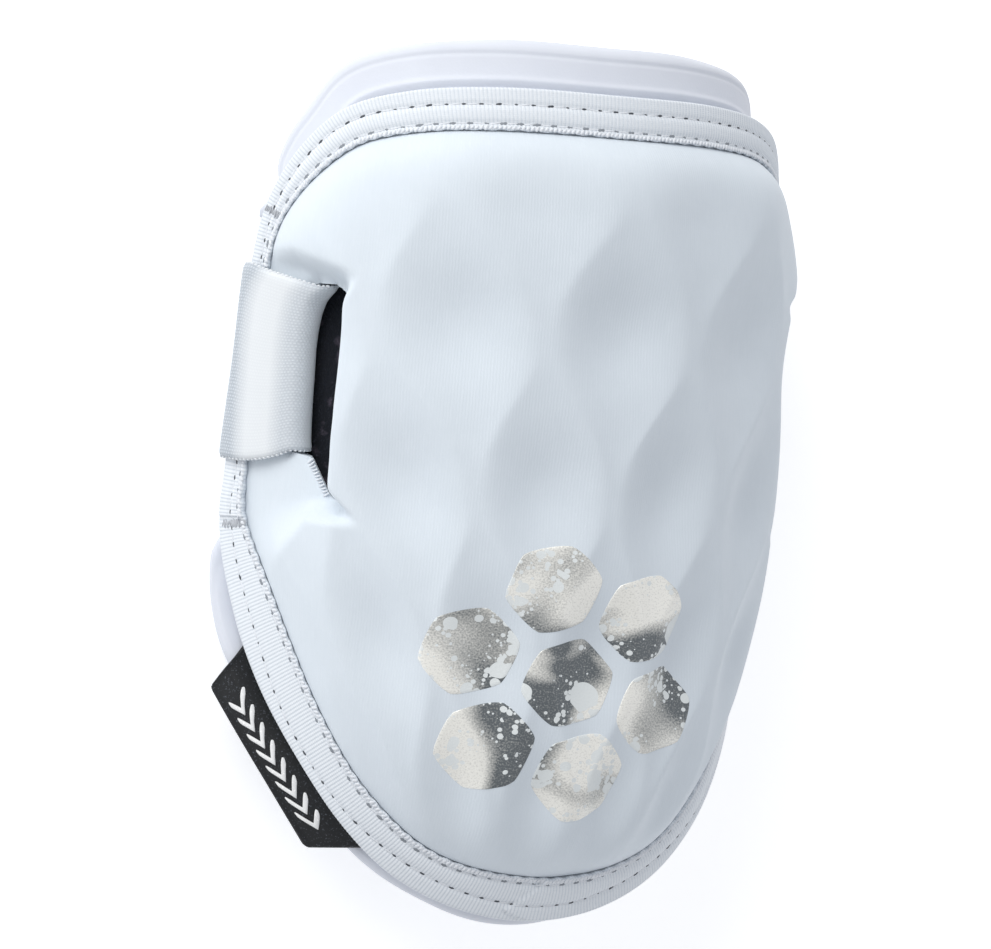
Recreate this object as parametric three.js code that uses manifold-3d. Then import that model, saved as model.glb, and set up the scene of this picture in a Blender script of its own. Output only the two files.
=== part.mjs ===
import * as THREE from 'three';
import Module from 'manifold-3d';

// An elbow guard lying dome up on its strap: X across, Y towards the upper arm, Z up, in millimetres.
// Every sheet is drawn flat, s across and y along, bent round the forearm and lifted off that
// bent seat by a height h.

// The bent seat
const bendRadius = 54.6;
const crown = [
  { y: -100, z: 21.4 },
  { y: -83, z: 29.9 },
  { y: -60, z: 39.0 },
  { y: -30, z: 43.7 },
  { y: 0, z: 45.6 },
  { y: 30, z: 46.4 },
  { y: 55, z: 46.8 },
  { y: 70, z: 44.8 },
  { y: 84, z: 41.6 },
];

// Half of the rim in the flat pattern, from the top round to the bottom tip
const rim = [
  { s: 0, y: 73.5 },
  { s: 22, y: 73.4 },
  { s: 38, y: 71.8 },
  { s: 50, y: 68.2 },
  { s: 59.4, y: 60.6 },
  { s: 66.2, y: 50.8 },
  { s: 68.9, y: 41.0 },
  { s: 70.4, y: 20.0 },
  { s: 72.0, y: 1.0 },
  { s: 72.0, y: -13.0 },
  { s: 66.4, y: -27.6 },
  { s: 58.9, y: -40.5 },
  { s: 49.3, y: -53.0 },
  { s: 38.6, y: -64.8 },
  { s: 26.8, y: -74.2 },
  { s: 13.5, y: -80.0 },
  { s: 0, y: -82.0 },
];
const rimSteps = 96;
const rimSamples = 400;
const rimDivisions = 2000;
const padMiddle = 5;
const originShift = 1.03;

// The tape folded round the rim, and the width that shows on the front
const tape = 0.8;
const tapeWidth = [
  { y: -82, front: 8.6 },
  { y: -76, front: 7.2 },
  { y: -60, front: 6.8 },
  { y: -38, front: 9.1 },
  { y: -24, front: 8.8 },
  { y: -4, front: 5.4 },
  { y: 40, front: 3.9 },
  { y: 55, front: 5.2 },
  { y: 74, front: 7.4 },
];

// The moulded pad: a thin flange under the tape, a rounded shoulder, then the full body
const clearance = 0.3;
const flangeSpare = 0.15;
const flangeStep = 0.05;
const flangeInner = 1.4;
const flangeOuter = 3.8;
const bodyStart = 4.65;
const bodyHeight = 10.5;
const shoulder = [
  { y: -80, width: 15 },
  { y: -30, width: 21 },
  { y: 30, width: 22 },
  { y: 55, width: 13 },
  { y: 70, width: 9 },
];
const shoulderPower = 2.2;
const frontRings = 15;
const frontShrink = 0.95;
const backRings = 7;
const backShrink = 0.88;

// The lattice of teardrop dents: rows staggered by half a pitch, narrower towards the tip, whose
// ridges sway into an S and whose lower ends lean deeper
const dentRow = 28;
const dentPitchY = 60;
const dentPitchS = 22.8;
const dentTaper = 0.158;
const dentDepth = 2.6;
const dentRoundness = 0.12;
const dentPower = 0.85;
const dentSway = 0.028;
const dentSwayPhase = 0.6;
const dentLean = 0.35;
const dentLeanPhase = 1.1;
const dentFadeStart = -5;
const dentFade = 27;

// The strap slots; under is how far the outer edge is cut back behind, where the slot narrows to its tip
const slot = [
  { y: 35.9, inner: 51, outer: 54.6, under: 0 },
  { y: 34.9, inner: 49.3, outer: 56.2, under: 0 },
  { y: 33.6, inner: 48.1, outer: 57.2, under: 0 },
  { y: 26, inner: 49.1, outer: 57.8, under: 0 },
  { y: 9, inner: 48.8, outer: 57.9, under: 0 },
  { y: 3.6, inner: 47.8, outer: 57.9, under: 0 },
  { y: 2.9, inner: 47.7, outer: 53, under: 2 },
  { y: -3.8, inner: 47.5, outer: 48.8, under: 1.7 },
  { y: -4.6, inner: 47.5, outer: 47.9, under: 1.4 },
];
const slotCutLow = -2;
const slotCutHigh = 14;

// The recess of the pad round each slot: its ends flare past the slot, most at the lower end on the left;
// the upper end leans, and the lower one spreads towards the tape
const dipMiddle = 16.7;
const dipHalf = 25.9;
const dipInner = 46.6;
const dipWall = 2.6;
const dipEndWall = 4.6;
const dipFlareHigh = 2.8;
const dipFlareLow = 6.5;
const dipFlareLength = 8;
const dipSpread = 1.5;
const dipSpreadFrom = 51;
const dipLean = 0.28;
const dipLeanFrom = 58;

// The soft inner pad: how far it stands out past the rim, and how far its edge curls up
const innerThickness = 4.5;
const innerSteps = 72;
const innerBevel = 1.2;
const innerLip = 1.5;
const innerFrontRings = 10;
const innerFrontShrink = 0.94;
const innerBackRings = 5;
const innerLipShrink = 0.1;
const innerReach = [
  { y: -82, out: 5.2, right: 0, curl: 0 },
  { y: -78, out: 4.4, right: 0, curl: 0 },
  { y: -66, out: 5.4, right: 0, curl: 0 },
  { y: -48, out: 5.4, right: 0, curl: 0.3 },
  { y: -40, out: 6.2, right: 0, curl: 3.0 },
  { y: -34, out: 7.0, right: 0, curl: 4.6 },
  { y: -27, out: 7.2, right: 0, curl: 5.0 },
  { y: -20, out: 6.2, right: 0, curl: 5.0 },
  { y: -12, out: 4.0, right: 0, curl: 4.0 },
  { y: -6, out: 1.8, right: 0, curl: 1.2 },
  { y: -1, out: -1.5, right: 0, curl: 0 },
  { y: 40, out: -1.5, right: 0, curl: 0 },
  { y: 43.6, out: 0.3, right: 0, curl: 0 },
  { y: 45.8, out: 4.6, right: 0, curl: 4.6 },
  { y: 48.4, out: 4.6, right: 0, curl: 4.6 },
  { y: 51, out: 4.0, right: 0, curl: 0 },
  { y: 54, out: 7.6, right: 0, curl: 0 },
  { y: 58, out: 8.5, right: 0.5, curl: 0 },
  { y: 64, out: 8.7, right: 1.2, curl: 0 },
  { y: 69, out: 10.5, right: 1.0, curl: 0 },
  { y: 73.5, out: 10.9, right: 0, curl: 0 },
];
const curlEase = 3.2;
const innerDrop = 3.4;
const innerDropMiddle = 18;
const innerDropStart = 34;
const innerDropEase = 8;
const innerDropReach = 26;
const innerDropFade = 11;

// The black loop fabric behind each slot
const patchInner = 46;
const patchOuter = 60.5;
const patchLow = -7;
const patchHigh = 40;
const patchTop = -2.3;
const patchThickness = 0.7;
const patchRows = 7;
const patchColumns = 6;

// The elastic strap: its width on the rim and in the slot, then its way from behind the bar to the
// floor. Part says whether a point is measured from the slot (0) or from the rim (1).
const strapThickness = 1.2;
const strapMiddle = 20;
const strapWidth = 37.4;
const strapSlotMiddle = 19.65;
const strapSlotWidth = 31.5;
const strapSag = 1;
const strapSlotLine = [
  { y: 2, s: 54.9 },
  { y: 6, s: 56 },
  { y: 19, s: 56.4 },
  { y: 26, s: 56.3 },
  { y: 32, s: 55 },
  { y: 35.4, s: 52.2 },
];
const strapColumns = 6;
const strapWay = [
  { part: 0, s: 5.2, h: -1.2 },
  { part: 0, s: 3, h: -1.2 },
  { part: 0, s: 1.1, h: -0.8 },
  { part: 0, s: 0.2, h: 0.4 },
  { part: 0, s: 0, h: 2.0 },
  { part: 0, s: 0.3, h: 3.4 },
  { part: 0, s: 1.3, h: 4.7 },
  { part: 0.2, s: 1, h: 5.3 },
  { part: 0.5, s: 0.4, h: 5.65 },
  { part: 0.8, s: 0, h: 5.75 },
  { part: 1, s: -1, h: 5.8 },
  { part: 1, s: 0.5, h: 5.6 },
  { part: 1, s: 1.4, h: 4.8 },
  { part: 1, s: 1.75, h: 3.6 },
  { part: 1, s: 1.75, h: 2.0 },
  { part: 1, s: 1.75, h: 0.4 },
];
const strapBack = [
  { x: 48, lift: 1.5 },
  { x: 43, lift: 0.6 },
  { x: 36, lift: 0 },
  { x: 18, lift: 0 },
];

// The rubber label under the tape: root along the rim, straight outer edge, its upper end lifted on
// the inner pad's curl
const labelRootHigh = -32.4;
const labelRootLow = -70;
const labelOuter = [
  { s: 68.7, y: -42.9 },
  { s: 45.0, y: -72.0 },
];
const labelLift = 4.6;
const labelRoot = 1.1;
const labelLow = 0.7;
const labelThickness = 1.3;
const labelSteps = 12;
const labelColumns = 4;

const knit = new THREE.MeshStandardMaterial({ color: 0xe6eaf0, roughness: 0.85, metalness: 0 });
const ribbedTape = new THREE.MeshStandardMaterial({ color: 0xe3e7ee, roughness: 0.8, metalness: 0 });
const softKnit = new THREE.MeshStandardMaterial({ color: 0xe9ecf2, roughness: 0.9, metalness: 0 });
const elastic = new THREE.MeshStandardMaterial({ color: 0xe8e9ea, roughness: 0.9, metalness: 0 });
const loopFabric = new THREE.MeshStandardMaterial({ color: 0x1b1d22, roughness: 0.95, metalness: 0 });
const rubber = new THREE.MeshStandardMaterial({ color: 0x1e2126, roughness: 0.55, metalness: 0 });

const wasm = await Module();
wasm.setup();

function ease(x) {
  return THREE.MathUtils.smoothstep(x, 0, 1);
}

// A smooth value from a named column of a table sorted by y
function along(rows, name, y) {
  const last = rows.length - 1;
  const at = THREE.MathUtils.clamp(y, rows[0].y, rows[last].y);
  let i = 0;
  while (i < last - 1 && at > rows[i + 1].y) i += 1;
  const slope = (k) => {
    const a = rows[Math.max(k - 1, 0)];
    const b = rows[Math.min(k + 1, last)];
    return (b[name] - a[name]) / (b.y - a.y);
  };
  const span = rows[i + 1].y - rows[i].y;
  const u = (at - rows[i].y) / span;
  const from = rows[i][name] * (1 + 2 * u) * (1 - u) ** 2 + slope(i) * span * u * (1 - u) ** 2;
  const to = rows[i + 1][name] * u * u * (3 - 2 * u) - slope(i + 1) * span * u * u * (1 - u);
  return from + to;
}

// A point of the flat pattern, bent round the forearm and lifted by h
function seat(s, y, h) {
  const turn = s / bendRadius;
  const tilt = along(crown, 'z', y + 0.5) - along(crown, 'z', y - 0.5);
  const normal = new THREE.Vector3(Math.sin(turn), -Math.cos(turn) * tilt, Math.cos(turn));
  const point = new THREE.Vector3(
    bendRadius * Math.sin(turn),
    y,
    along(crown, 'z', y) - bendRadius * (1 - Math.cos(turn)),
  );
  return point.addScaledVector(normal.normalize(), h);
}

// The whole rim as evenly spaced points with their outward directions
function rimPoints(steps) {
  const right = rim.map((row) => new THREE.Vector3(row.s, row.y, 0));
  const left = rim.slice(1, -1).reverse().map((row) => new THREE.Vector3(-row.s, row.y, 0));
  const curve = new THREE.CatmullRomCurve3([...right, ...left], true, 'centripetal');
  curve.arcLengthDivisions = rimDivisions;
  return Array.from({ length: steps }, (_, i) => {
    const point = curve.getPointAt(i / steps);
    const tangent = curve.getTangentAt(i / steps);
    return { s: point.x, y: point.y, outS: -tangent.y, outY: tangent.x };
  });
}

const fineRim = rimPoints(rimSamples);

// The nearest place on the rim, and the depth in from it, negative outside
function nearRim(s, y) {
  const away = (p) => Math.hypot(s - p.s, y - p.y);
  const near = fineRim.reduce((best, p) => (away(p) < away(best) ? p : best));
  const outside = (s - near.s) * near.outS + (y - near.y) * near.outY > 0;
  return { y: near.y, depth: outside ? -away(near) : away(near) };
}

function flangeWidth(rimY) {
  return along(tapeWidth, 'front', rimY) + flangeSpare;
}

// The rim's half width at a height y on its side
function rimAt(y) {
  const side = fineRim.filter((p) => p.s > 0);
  const nearest = side.sort((a, b) => Math.abs(a.y - y) - Math.abs(b.y - y));
  const [a, b] = nearest;
  const u = (y - a.y) / (b.y - a.y || 1);
  return a.s + (b.s - a.s) * u;
}

function dent(s, y) {
  const across = s / (dentPitchS + dentTaper * y);
  const down = (y - dentRow) / dentPitchY;
  const wavy = 4 * Math.PI * down;
  const drop = down - dentSway * (Math.sin(wavy - dentSwayPhase) + Math.sin(dentSwayPhase));
  const wave = Math.cos(Math.PI * (across + drop)) * Math.cos(Math.PI * (across - drop));
  const soft = Math.hypot(wave, dentRoundness) - dentRoundness;
  return soft ** dentPower * (1 + dentLean * Math.sin(wavy + dentLeanPhase));
}

// 1 in the strap's recess at either side, 0 on the pad round it
function dip(s, y) {
  const across = Math.abs(s);
  const low = y < dipMiddle;
  const lean = low ? 0 : dipLean * Math.max(dipLeanFrom - across, 0);
  const spread = low ? dipSpread * Math.max(across - dipSpreadFrom, 0) : 0;
  const fromEnd = dipHalf - lean - Math.abs(y - dipMiddle);
  const end = ease(1 - fromEnd / dipFlareLength);
  const inner = dipInner - (low && s < 0 ? dipFlareLow : dipFlareHigh) * end;
  const wall = THREE.MathUtils.lerp(dipWall, dipEndWall, end);
  return ease((across - inner) / wall) * ease((fromEnd + spread) / (dipEndWall + spread));
}

// Height of the moulded front over the seat
function frontHeight(s, y) {
  const near = nearRim(s, y);
  const depth = near.depth - flangeWidth(near.y);
  const rise = 1 - (1 - THREE.MathUtils.clamp(depth / along(shoulder, 'width', y), 0, 1)) ** shoulderPower;
  const plain = THREE.MathUtils.lerp(bodyStart, bodyHeight, rise);
  const moulded = plain - dentDepth * dent(s, y) * ease((depth - dentFadeStart) / dentFade);
  return THREE.MathUtils.lerp(moulded, flangeOuter, dip(s, y));
}

// A closed body from corner points and triangles, turned so that its faces point out
function body(points, triangles) {
  const volume = triangles.reduce((sum, [a, b, c]) => {
    return sum + points[a].dot(points[b].clone().cross(points[c]));
  }, 0);
  const faces = volume > 0 ? triangles : triangles.map(([a, b, c]) => [a, c, b]);
  const geometry = new THREE.BufferGeometry();
  geometry.setAttribute('position', new THREE.Float32BufferAttribute(points.flatMap((p) => p.toArray()), 3));
  geometry.setIndex(faces.flat());
  geometry.computeVertexNormals();
  return geometry;
}

// A body of rings from one pole to the other
function ringBody(start, rings, end) {
  const count = rings[0].length;
  const points = [...rings.flat(), start, end];
  const triangles = [];
  for (let i = 0; i < count; i += 1) {
    const next = (i + 1) % count;
    const lastRing = (rings.length - 1) * count;
    triangles.push([rings.length * count, i, next]);
    triangles.push([rings.length * count + 1, lastRing + next, lastRing + i]);
    for (let k = 0; k + 1 < rings.length; k += 1) {
      const a = k * count;
      const b = a + count;
      triangles.push([a + i, b + i, b + next], [a + i, b + next, a + next]);
    }
  }
  return body(points, triangles);
}

// A body of sections joined in an endless loop
function loopBody(sections) {
  const size = sections[0].length;
  const triangles = [];
  sections.forEach((_, i) => {
    const a = i * size;
    const b = ((i + 1) % sections.length) * size;
    for (let k = 0; k < size; k += 1) {
      const next = (k + 1) % size;
      triangles.push([a + k, b + k, b + next], [a + k, b + next, a + next]);
    }
  });
  return body(sections.flat(), triangles);
}

// A plate from a grid of paired upper and lower points
function plate(upper, lower) {
  const columns = upper[0].length;
  const rows = upper.length;
  const points = [...upper.flat(), ...lower.flat()];
  const under = rows * columns;
  const at = (i, j) => i * columns + j;
  const triangles = [];
  const wall = (a, b) => triangles.push([a, b, b + under], [a, b + under, a + under]);
  for (let i = 0; i + 1 < rows; i += 1) {
    for (let j = 0; j + 1 < columns; j += 1) {
      const quad = [at(i, j), at(i + 1, j), at(i + 1, j + 1), at(i, j + 1)];
      const [a, b, c, d] = quad;
      triangles.push([a, b, c], [a, c, d]);
      const [e, f, g, k] = quad.map((v) => v + under);
      triangles.push([e, g, f], [e, k, g]);
    }
    wall(at(i + 1, 0), at(i, 0));
    wall(at(i, columns - 1), at(i + 1, columns - 1));
  }
  for (let j = 0; j + 1 < columns; j += 1) {
    wall(at(0, j), at(0, j + 1));
    wall(at(rows - 1, j + 1), at(rows - 1, j));
  }
  return body(points, triangles);
}

function toSolid(geometry) {
  return new wasm.Manifold(new wasm.Mesh({
    numProp: 3,
    vertProperties: geometry.getAttribute('position').array,
    triVerts: Uint32Array.from(geometry.getIndex().array),
  }));
}

function fromSolid(solid) {
  const mesh = solid.getMesh();
  const geometry = new THREE.BufferGeometry();
  geometry.setAttribute('position', new THREE.Float32BufferAttribute(mesh.vertProperties, 3));
  geometry.setIndex([...mesh.triVerts]);
  geometry.computeVertexNormals();
  return geometry;
}

// A ring of the pad: in from the rim by a depth that follows the flange, then shrunk to the middle
function padRing(depthAt, shrink) {
  return rimPoints(rimSteps).map((p) => {
    const depth = depthAt(flangeWidth(p.y));
    return {
      s: (p.s - p.outS * depth) * (1 - shrink),
      y: padMiddle + (p.y - p.outY * depth - padMiddle) * (1 - shrink),
    };
  });
}

function lifted(ring, height) {
  return ring.map((p) => seat(p.s, p.y, height(p.s, p.y)));
}

function range(count, from, to) {
  return Array.from({ length: count }, (_, i) => from + (to - from) * (i / (count - 1)));
}

// The cutter for one slot; side is 1 on the right and -1 on the left
function slotCutter(side) {
  const sheet = (h, share) => slot.map((row) => {
    return [row.inner, row.outer + row.under * share].map((s) => seat(s * side, row.y, h));
  });
  const straight = toSolid(plate(sheet(slotCutHigh, 0), sheet(slotCutLow, 0)));
  const cutBack = sheet(slotCutLow, 1 - slotCutLow / flangeOuter);
  return straight.add(toSolid(plate(sheet(flangeOuter, 0), cutBack)));
}

function makeOuterPad() {
  const whole = (width) => width;
  const step = (width) => width - flangeStep;
  const edge = () => clearance;
  const front = range(frontRings, frontShrink, 0).map((shrink) => {
    return lifted(padRing(whole, shrink), frontHeight);
  });
  const flange = [step, edge].map((depth) => lifted(padRing(depth, 0), () => flangeOuter));
  const flangeBack = [edge, step].map((depth) => lifted(padRing(depth, 0), () => flangeInner));
  const back = range(backRings, 0, backShrink).map((shrink) => lifted(padRing(whole, shrink), () => 0));
  const rings = [...front, ...flange, ...flangeBack, ...back];
  const pad = ringBody(seat(0, padMiddle, frontHeight(0, padMiddle)), rings, seat(0, padMiddle, 0));
  return fromSolid(toSolid(pad).subtract(slotCutter(1)).subtract(slotCutter(-1)));
}

function makeBinding() {
  const low = flangeInner - clearance;
  const high = flangeOuter + clearance;
  const section = (width) => [
    [width, high],
    [0, high],
    [0, low],
    [width, low],
    [width, low - tape],
    [0, low - tape],
    [-tape, low],
    [-tape, high],
    [0, high + tape],
    [width, high + tape],
  ];
  return loopBody(rimPoints(rimSteps).map((p) => {
    const width = along(tapeWidth, 'front', p.y);
    return section(width).map(([depth, h]) => seat(p.s - p.outS * depth, p.y - p.outY * depth, h));
  }));
}

// How far the inner pad sinks under the strap's ends
function sink(s, y) {
  const across = ease((Math.abs(s) - innerDropStart) / innerDropEase);
  return innerDrop * across * (1 - ease((Math.abs(y - innerDropMiddle) - innerDropReach) / innerDropFade));
}

// How much of a curl a point takes, from none at the tape to all of it a little outside
function curlShare(s, y) {
  return ease((-nearRim(s, y).depth - tape - clearance) / curlEase);
}

function makeInnerPad() {
  const edge = rimPoints(innerSteps).map((p) => ({
    ...p,
    out: along(innerReach, 'out', p.y) + (p.s > 0 ? along(innerReach, 'right', p.y) : 0),
    curl: Math.max(along(innerReach, 'curl', p.y), 0),
  }));
  // A ring in from the inner pad's own edge, at a height over its front face
  const ring = (depthAt, shrink, h) => edge.map((p) => {
    const reach = p.out - depthAt(p);
    const s = (p.s + p.outS * reach) * (1 - shrink);
    const y = padMiddle + (p.y + p.outY * reach - padMiddle) * (1 - shrink);
    const point = seat(s, y, h - clearance - sink(s, y) + p.curl * curlShare(s, y));
    point.z = Math.max(point.z, 0);
    return point;
  });
  const tip = () => 0;
  const bevel = () => innerBevel;
  const underTape = (p) => Math.max(innerBevel + innerLip, p.out - tape - clearance);
  const front = range(innerFrontRings, innerFrontShrink, innerLipShrink).map((shrink) => {
    return ring(bevel, shrink, 0);
  });
  const lip = [
    ring(underTape, 0, 0),
    ring(bevel, 0, 0),
    ring(tip, 0, -innerBevel),
    ring(tip, 0, innerBevel - innerThickness),
    ring(bevel, 0, -innerThickness),
  ];
  const back = range(innerBackRings, innerLipShrink, backShrink).map((shrink) => {
    return ring(bevel, shrink, -innerThickness);
  });
  const middle = (h) => seat(0, padMiddle, h - clearance);
  return ringBody(middle(0), [...front, ...lip, ...back], middle(-innerThickness));
}

function makeLoopPatch(side) {
  const sheet = (h) => range(patchRows, patchLow, patchHigh).map((y) => {
    return range(patchColumns, patchInner, patchOuter).map((s) => seat(s * side, y, h));
  });
  return plate(sheet(patchTop), sheet(patchTop - patchThickness));
}

// One edge-to-edge line of the strap's middle surface, from behind the right bar to the back
function strapSide(across) {
  const onRim = strapMiddle + across * strapWidth;
  const inSlot = strapSlotMiddle + across * strapSlotWidth;
  const front = strapWay.map((step) => {
    const sag = strapSag * 4 * step.part * (1 - step.part) * (0.5 - across);
    const y = THREE.MathUtils.lerp(inSlot, onRim, step.part) - sag;
    const slotLine = along(strapSlotLine, 's', y);
    const s = THREE.MathUtils.lerp(slotLine, rimAt(y), step.part) + step.s;
    return seat(s, y, step.h);
  });
  const floor = strapThickness / 2;
  const back = strapBack.map((step) => new THREE.Vector3(step.x, onRim, floor + step.lift));
  return [...front, ...back];
}

function makeStrap() {
  const lines = range(strapColumns, -0.5, 0.5).map((across) => {
    const right = strapSide(across);
    const left = right.map((p) => new THREE.Vector3(-p.x, p.y, p.z)).reverse();
    return [...right, ...left];
  });
  const offset = (line, i) => {
    const before = line[Math.max(i - 1, 0)];
    const after = line[Math.min(i + 1, line.length - 1)];
    const run = after.clone().sub(before);
    return new THREE.Vector3(run.z, 0, -run.x).setLength(strapThickness / 2);
  };
  const sheet = (sign) => lines.map((line) => line.map((p, i) => {
    const point = p.clone().addScaledVector(offset(line, i), sign);
    point.z = Math.max(point.z, 0);
    return point;
  }));
  return plate(sheet(1), sheet(-1));
}

function makeLabel() {
  const root = fineRim.filter((p) => p.s > 0 && p.y < labelRootHigh && p.y > labelRootLow);
  const [high, low] = labelOuter;
  const flat = range(labelSteps, 0, 1).map((u) => {
    const p = root[Math.round(u * (root.length - 1))];
    const inner = { s: p.s + p.outS * labelRoot, y: p.y + p.outY * labelRoot };
    const outer = {
      s: THREE.MathUtils.lerp(high.s, low.s, u),
      y: THREE.MathUtils.lerp(high.y, low.y, u),
    };
    return range(labelColumns, 0, 1).map((v) => ({
      s: -THREE.MathUtils.lerp(inner.s, outer.s, v),
      y: THREE.MathUtils.lerp(inner.y, outer.y, v),
      lift: labelLift * (1 - u),
    }));
  });
  const sheet = (h) => flat.map((row) => row.map((p) => {
    const point = seat(p.s, p.y, h + p.lift * curlShare(p.s, p.y));
    point.z = Math.max(point.z, h - labelLow);
    return point;
  }));
  return plate(sheet(labelLow + labelThickness), sheet(labelLow));
}

// The origin lies on the floor under the middle of the guard's length
const guard = new THREE.Group();
guard.position.y = originShift;

function add(name, geometry, material) {
  const mesh = new THREE.Mesh(geometry, material);
  mesh.name = name;
  guard.add(mesh);
}

add('outer_pad', makeOuterPad(), knit);
add('binding', makeBinding(), ribbedTape);
add('inner_pad', makeInnerPad(), softKnit);
add('strap', makeStrap(), elastic);
add('loop_patch_left', makeLoopPatch(-1), loopFabric);
add('loop_patch_right', makeLoopPatch(1), loopFabric);
add('label_tab', makeLabel(), rubber);

export default guard;
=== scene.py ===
import math
from functools import partial

import bmesh
import bpy
import numpy as np
from mathutils import Matrix, Vector


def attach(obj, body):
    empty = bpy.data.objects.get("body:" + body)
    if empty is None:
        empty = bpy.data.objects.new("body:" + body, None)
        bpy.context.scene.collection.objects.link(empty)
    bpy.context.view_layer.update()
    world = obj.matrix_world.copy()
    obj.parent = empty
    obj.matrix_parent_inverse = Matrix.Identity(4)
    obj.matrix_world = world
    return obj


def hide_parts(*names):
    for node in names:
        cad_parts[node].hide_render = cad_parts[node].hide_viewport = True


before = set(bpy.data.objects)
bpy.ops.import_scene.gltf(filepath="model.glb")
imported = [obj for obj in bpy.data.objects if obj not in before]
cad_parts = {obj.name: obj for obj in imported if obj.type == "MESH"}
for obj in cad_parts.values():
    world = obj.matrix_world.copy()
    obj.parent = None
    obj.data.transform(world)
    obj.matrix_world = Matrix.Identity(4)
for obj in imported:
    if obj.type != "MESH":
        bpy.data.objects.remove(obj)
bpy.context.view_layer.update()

mm = 0.001  # everything below is in millimetres until it becomes a mesh

# The flat pattern: s across, y along, bent round the forearm and lifted off that seat by a height h
pattern = {
    "bendRadius": 54.6,
    "lengthwise": 1.03,  # puts the origin under the middle of the length
    "middle": 5.0,
    "crown": [  # y, height of the seat along its crown
        (-100, 21.4), (-83, 29.9), (-60, 39.0), (-30, 43.7), (0, 45.6),
        (30, 46.4), (55, 46.8), (70, 44.8), (84, 41.6),
    ],
    "rim": [  # s, y of the right half, from the top round to the tip
        (0, 73.5), (22, 73.4), (38, 71.8), (50, 68.2), (59.4, 60.6), (66.2, 50.8),
        (68.9, 41.0), (70.4, 20.0), (72.0, 1.0), (72.0, -13.0), (66.4, -27.6), (58.9, -40.5),
        (49.3, -53.0), (38.6, -64.8), (26.8, -74.2), (13.5, -80.0), (0, -82.0),
    ],
    "rimSamples": 1400, "clearance": 0.3,
}


def ease(x):
    x = np.clip(x, 0, 1)
    return x * x * (3 - 2 * x)


def hermite(a, slopeA, b, slopeB, u):  # smooth run from a to b, its slopes for the whole span
    start = a * (1 + 2 * u) * (1 - u) ** 2 + slopeA * u * (1 - u) ** 2
    return start + b * u * u * (3 - 2 * u) - slopeB * u * u * (1 - u)


def along(rows, y, column=1):  # smooth value from a table sorted by its first column
    rows = np.array(rows, float)
    ys, values = rows[:, 0], rows[:, column]
    slopes = np.gradient(values, ys)
    slopes[1:-1] = (values[2:] - values[:-2]) / (ys[2:] - ys[:-2])
    at = np.clip(y, ys[0], ys[-1])
    i = np.clip(np.searchsorted(ys, at) - 1, 0, len(ys) - 2)
    span = ys[i + 1] - ys[i]
    return hermite(values[i], slopes[i] * span, values[i + 1], slopes[i + 1] * span, (at - ys[i]) / span)


def seat(s, y, h):
    s, y, h = np.broadcast_arrays(s, y, h)
    radius = pattern["bendRadius"]
    turn = s / radius
    tilt = along(pattern["crown"], y + 0.5) - along(pattern["crown"], y - 0.5)  # slope over 1 mm
    normal = np.stack([np.sin(turn), -np.cos(turn) * tilt, np.cos(turn)], -1)
    normal /= np.linalg.norm(normal, axis=-1, keepdims=True)
    z = along(pattern["crown"], y) - radius * (1 - np.cos(turn))
    return np.stack([radius * np.sin(turn), y + pattern["lengthwise"], z], -1) + normal * h[..., None]


def throughPoints(points, closed, perSpan=80):  # centripetal Catmull-Rom through a list of points
    points = np.array(points, float)
    if not closed:
        points = np.vstack([2 * points[0] - points[1], points, 2 * points[-1] - points[-2]])
    count = len(points)
    spans = range(count) if closed else range(1, count - 2)
    u = np.linspace(0, 1, perSpan, endpoint=False)[:, None]
    pieces = []
    for i in spans:
        p0, p1, p2, p3 = (points[(i + k) % count] for k in (-1, 0, 1, 2))
        d0, d1, d2 = (max(np.linalg.norm(b - a), 1e-6) ** 0.5 for a, b in ((p0, p1), (p1, p2), (p2, p3)))
        t1 = ((p1 - p0) / d0 - (p2 - p0) / (d0 + d1) + (p2 - p1) / d1) * d1
        t2 = ((p2 - p1) / d1 - (p3 - p1) / (d1 + d2) + (p3 - p2) / d2) * d1
        pieces.append(hermite(p1, t1, p2, t2, u))
    if not closed:
        pieces.append(points[-2][None])
    return np.vstack(pieces)


def evenly(line, count, closed):  # the same line with points at equal steps along it
    full = np.vstack([line, line[:1]]) if closed else line
    run = np.concatenate([[0], np.cumsum(np.linalg.norm(np.diff(full, axis=0), axis=1))])
    at = np.linspace(0, run[-1], count, endpoint=not closed)
    return np.stack([np.interp(at, run, full[:, k]) for k in range(full.shape[1])], -1), run[-1]


leftHalf = [(-s, y) for s, y in pattern["rim"][-2:0:-1]]
rimLine = throughPoints(pattern["rim"] + leftHalf, closed=True)


def rimLoop(count):  # s, y and the outward direction at equal steps round the rim
    line, length = evenly(rimLine, count, True)
    ahead = np.roll(line, -1, 0) - np.roll(line, 1, 0)
    ahead /= np.linalg.norm(ahead, axis=1, keepdims=True)
    return line[:, 0], line[:, 1], -ahead[:, 1], ahead[:, 0], length


fineRim = rimLoop(pattern["rimSamples"])
rimLength = fineRim[4]


def nearRim(s, y, chunk=20000):  # depth in from the rim, negative outside, and the rim's y there
    shape = np.shape(s)
    s, y = np.ravel(s), np.ravel(y)
    depth, rimY = np.empty(len(s)), np.empty(len(s))
    rs, ry, outS, outY, _ = fineRim
    for a in range(0, len(s), chunk):
        part = slice(a, a + chunk)
        near = ((s[part, None] - rs) ** 2 + (y[part, None] - ry) ** 2).argmin(1)
        depth[part] = -((s[part] - rs[near]) * outS[near] + (y[part] - ry[near]) * outY[near])
        rimY[part] = ry[near]
    return depth.reshape(shape), rimY.reshape(shape)


def linear(code):  # sRGB hex to linear colour
    values = [int(code[i:i + 2], 16) / 255 for i in (1, 3, 5)]
    return tuple(v / 12.92 if v <= 0.04045 else ((v + 0.055) / 1.055) ** 2.4 for v in values) + (1.0,)


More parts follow.
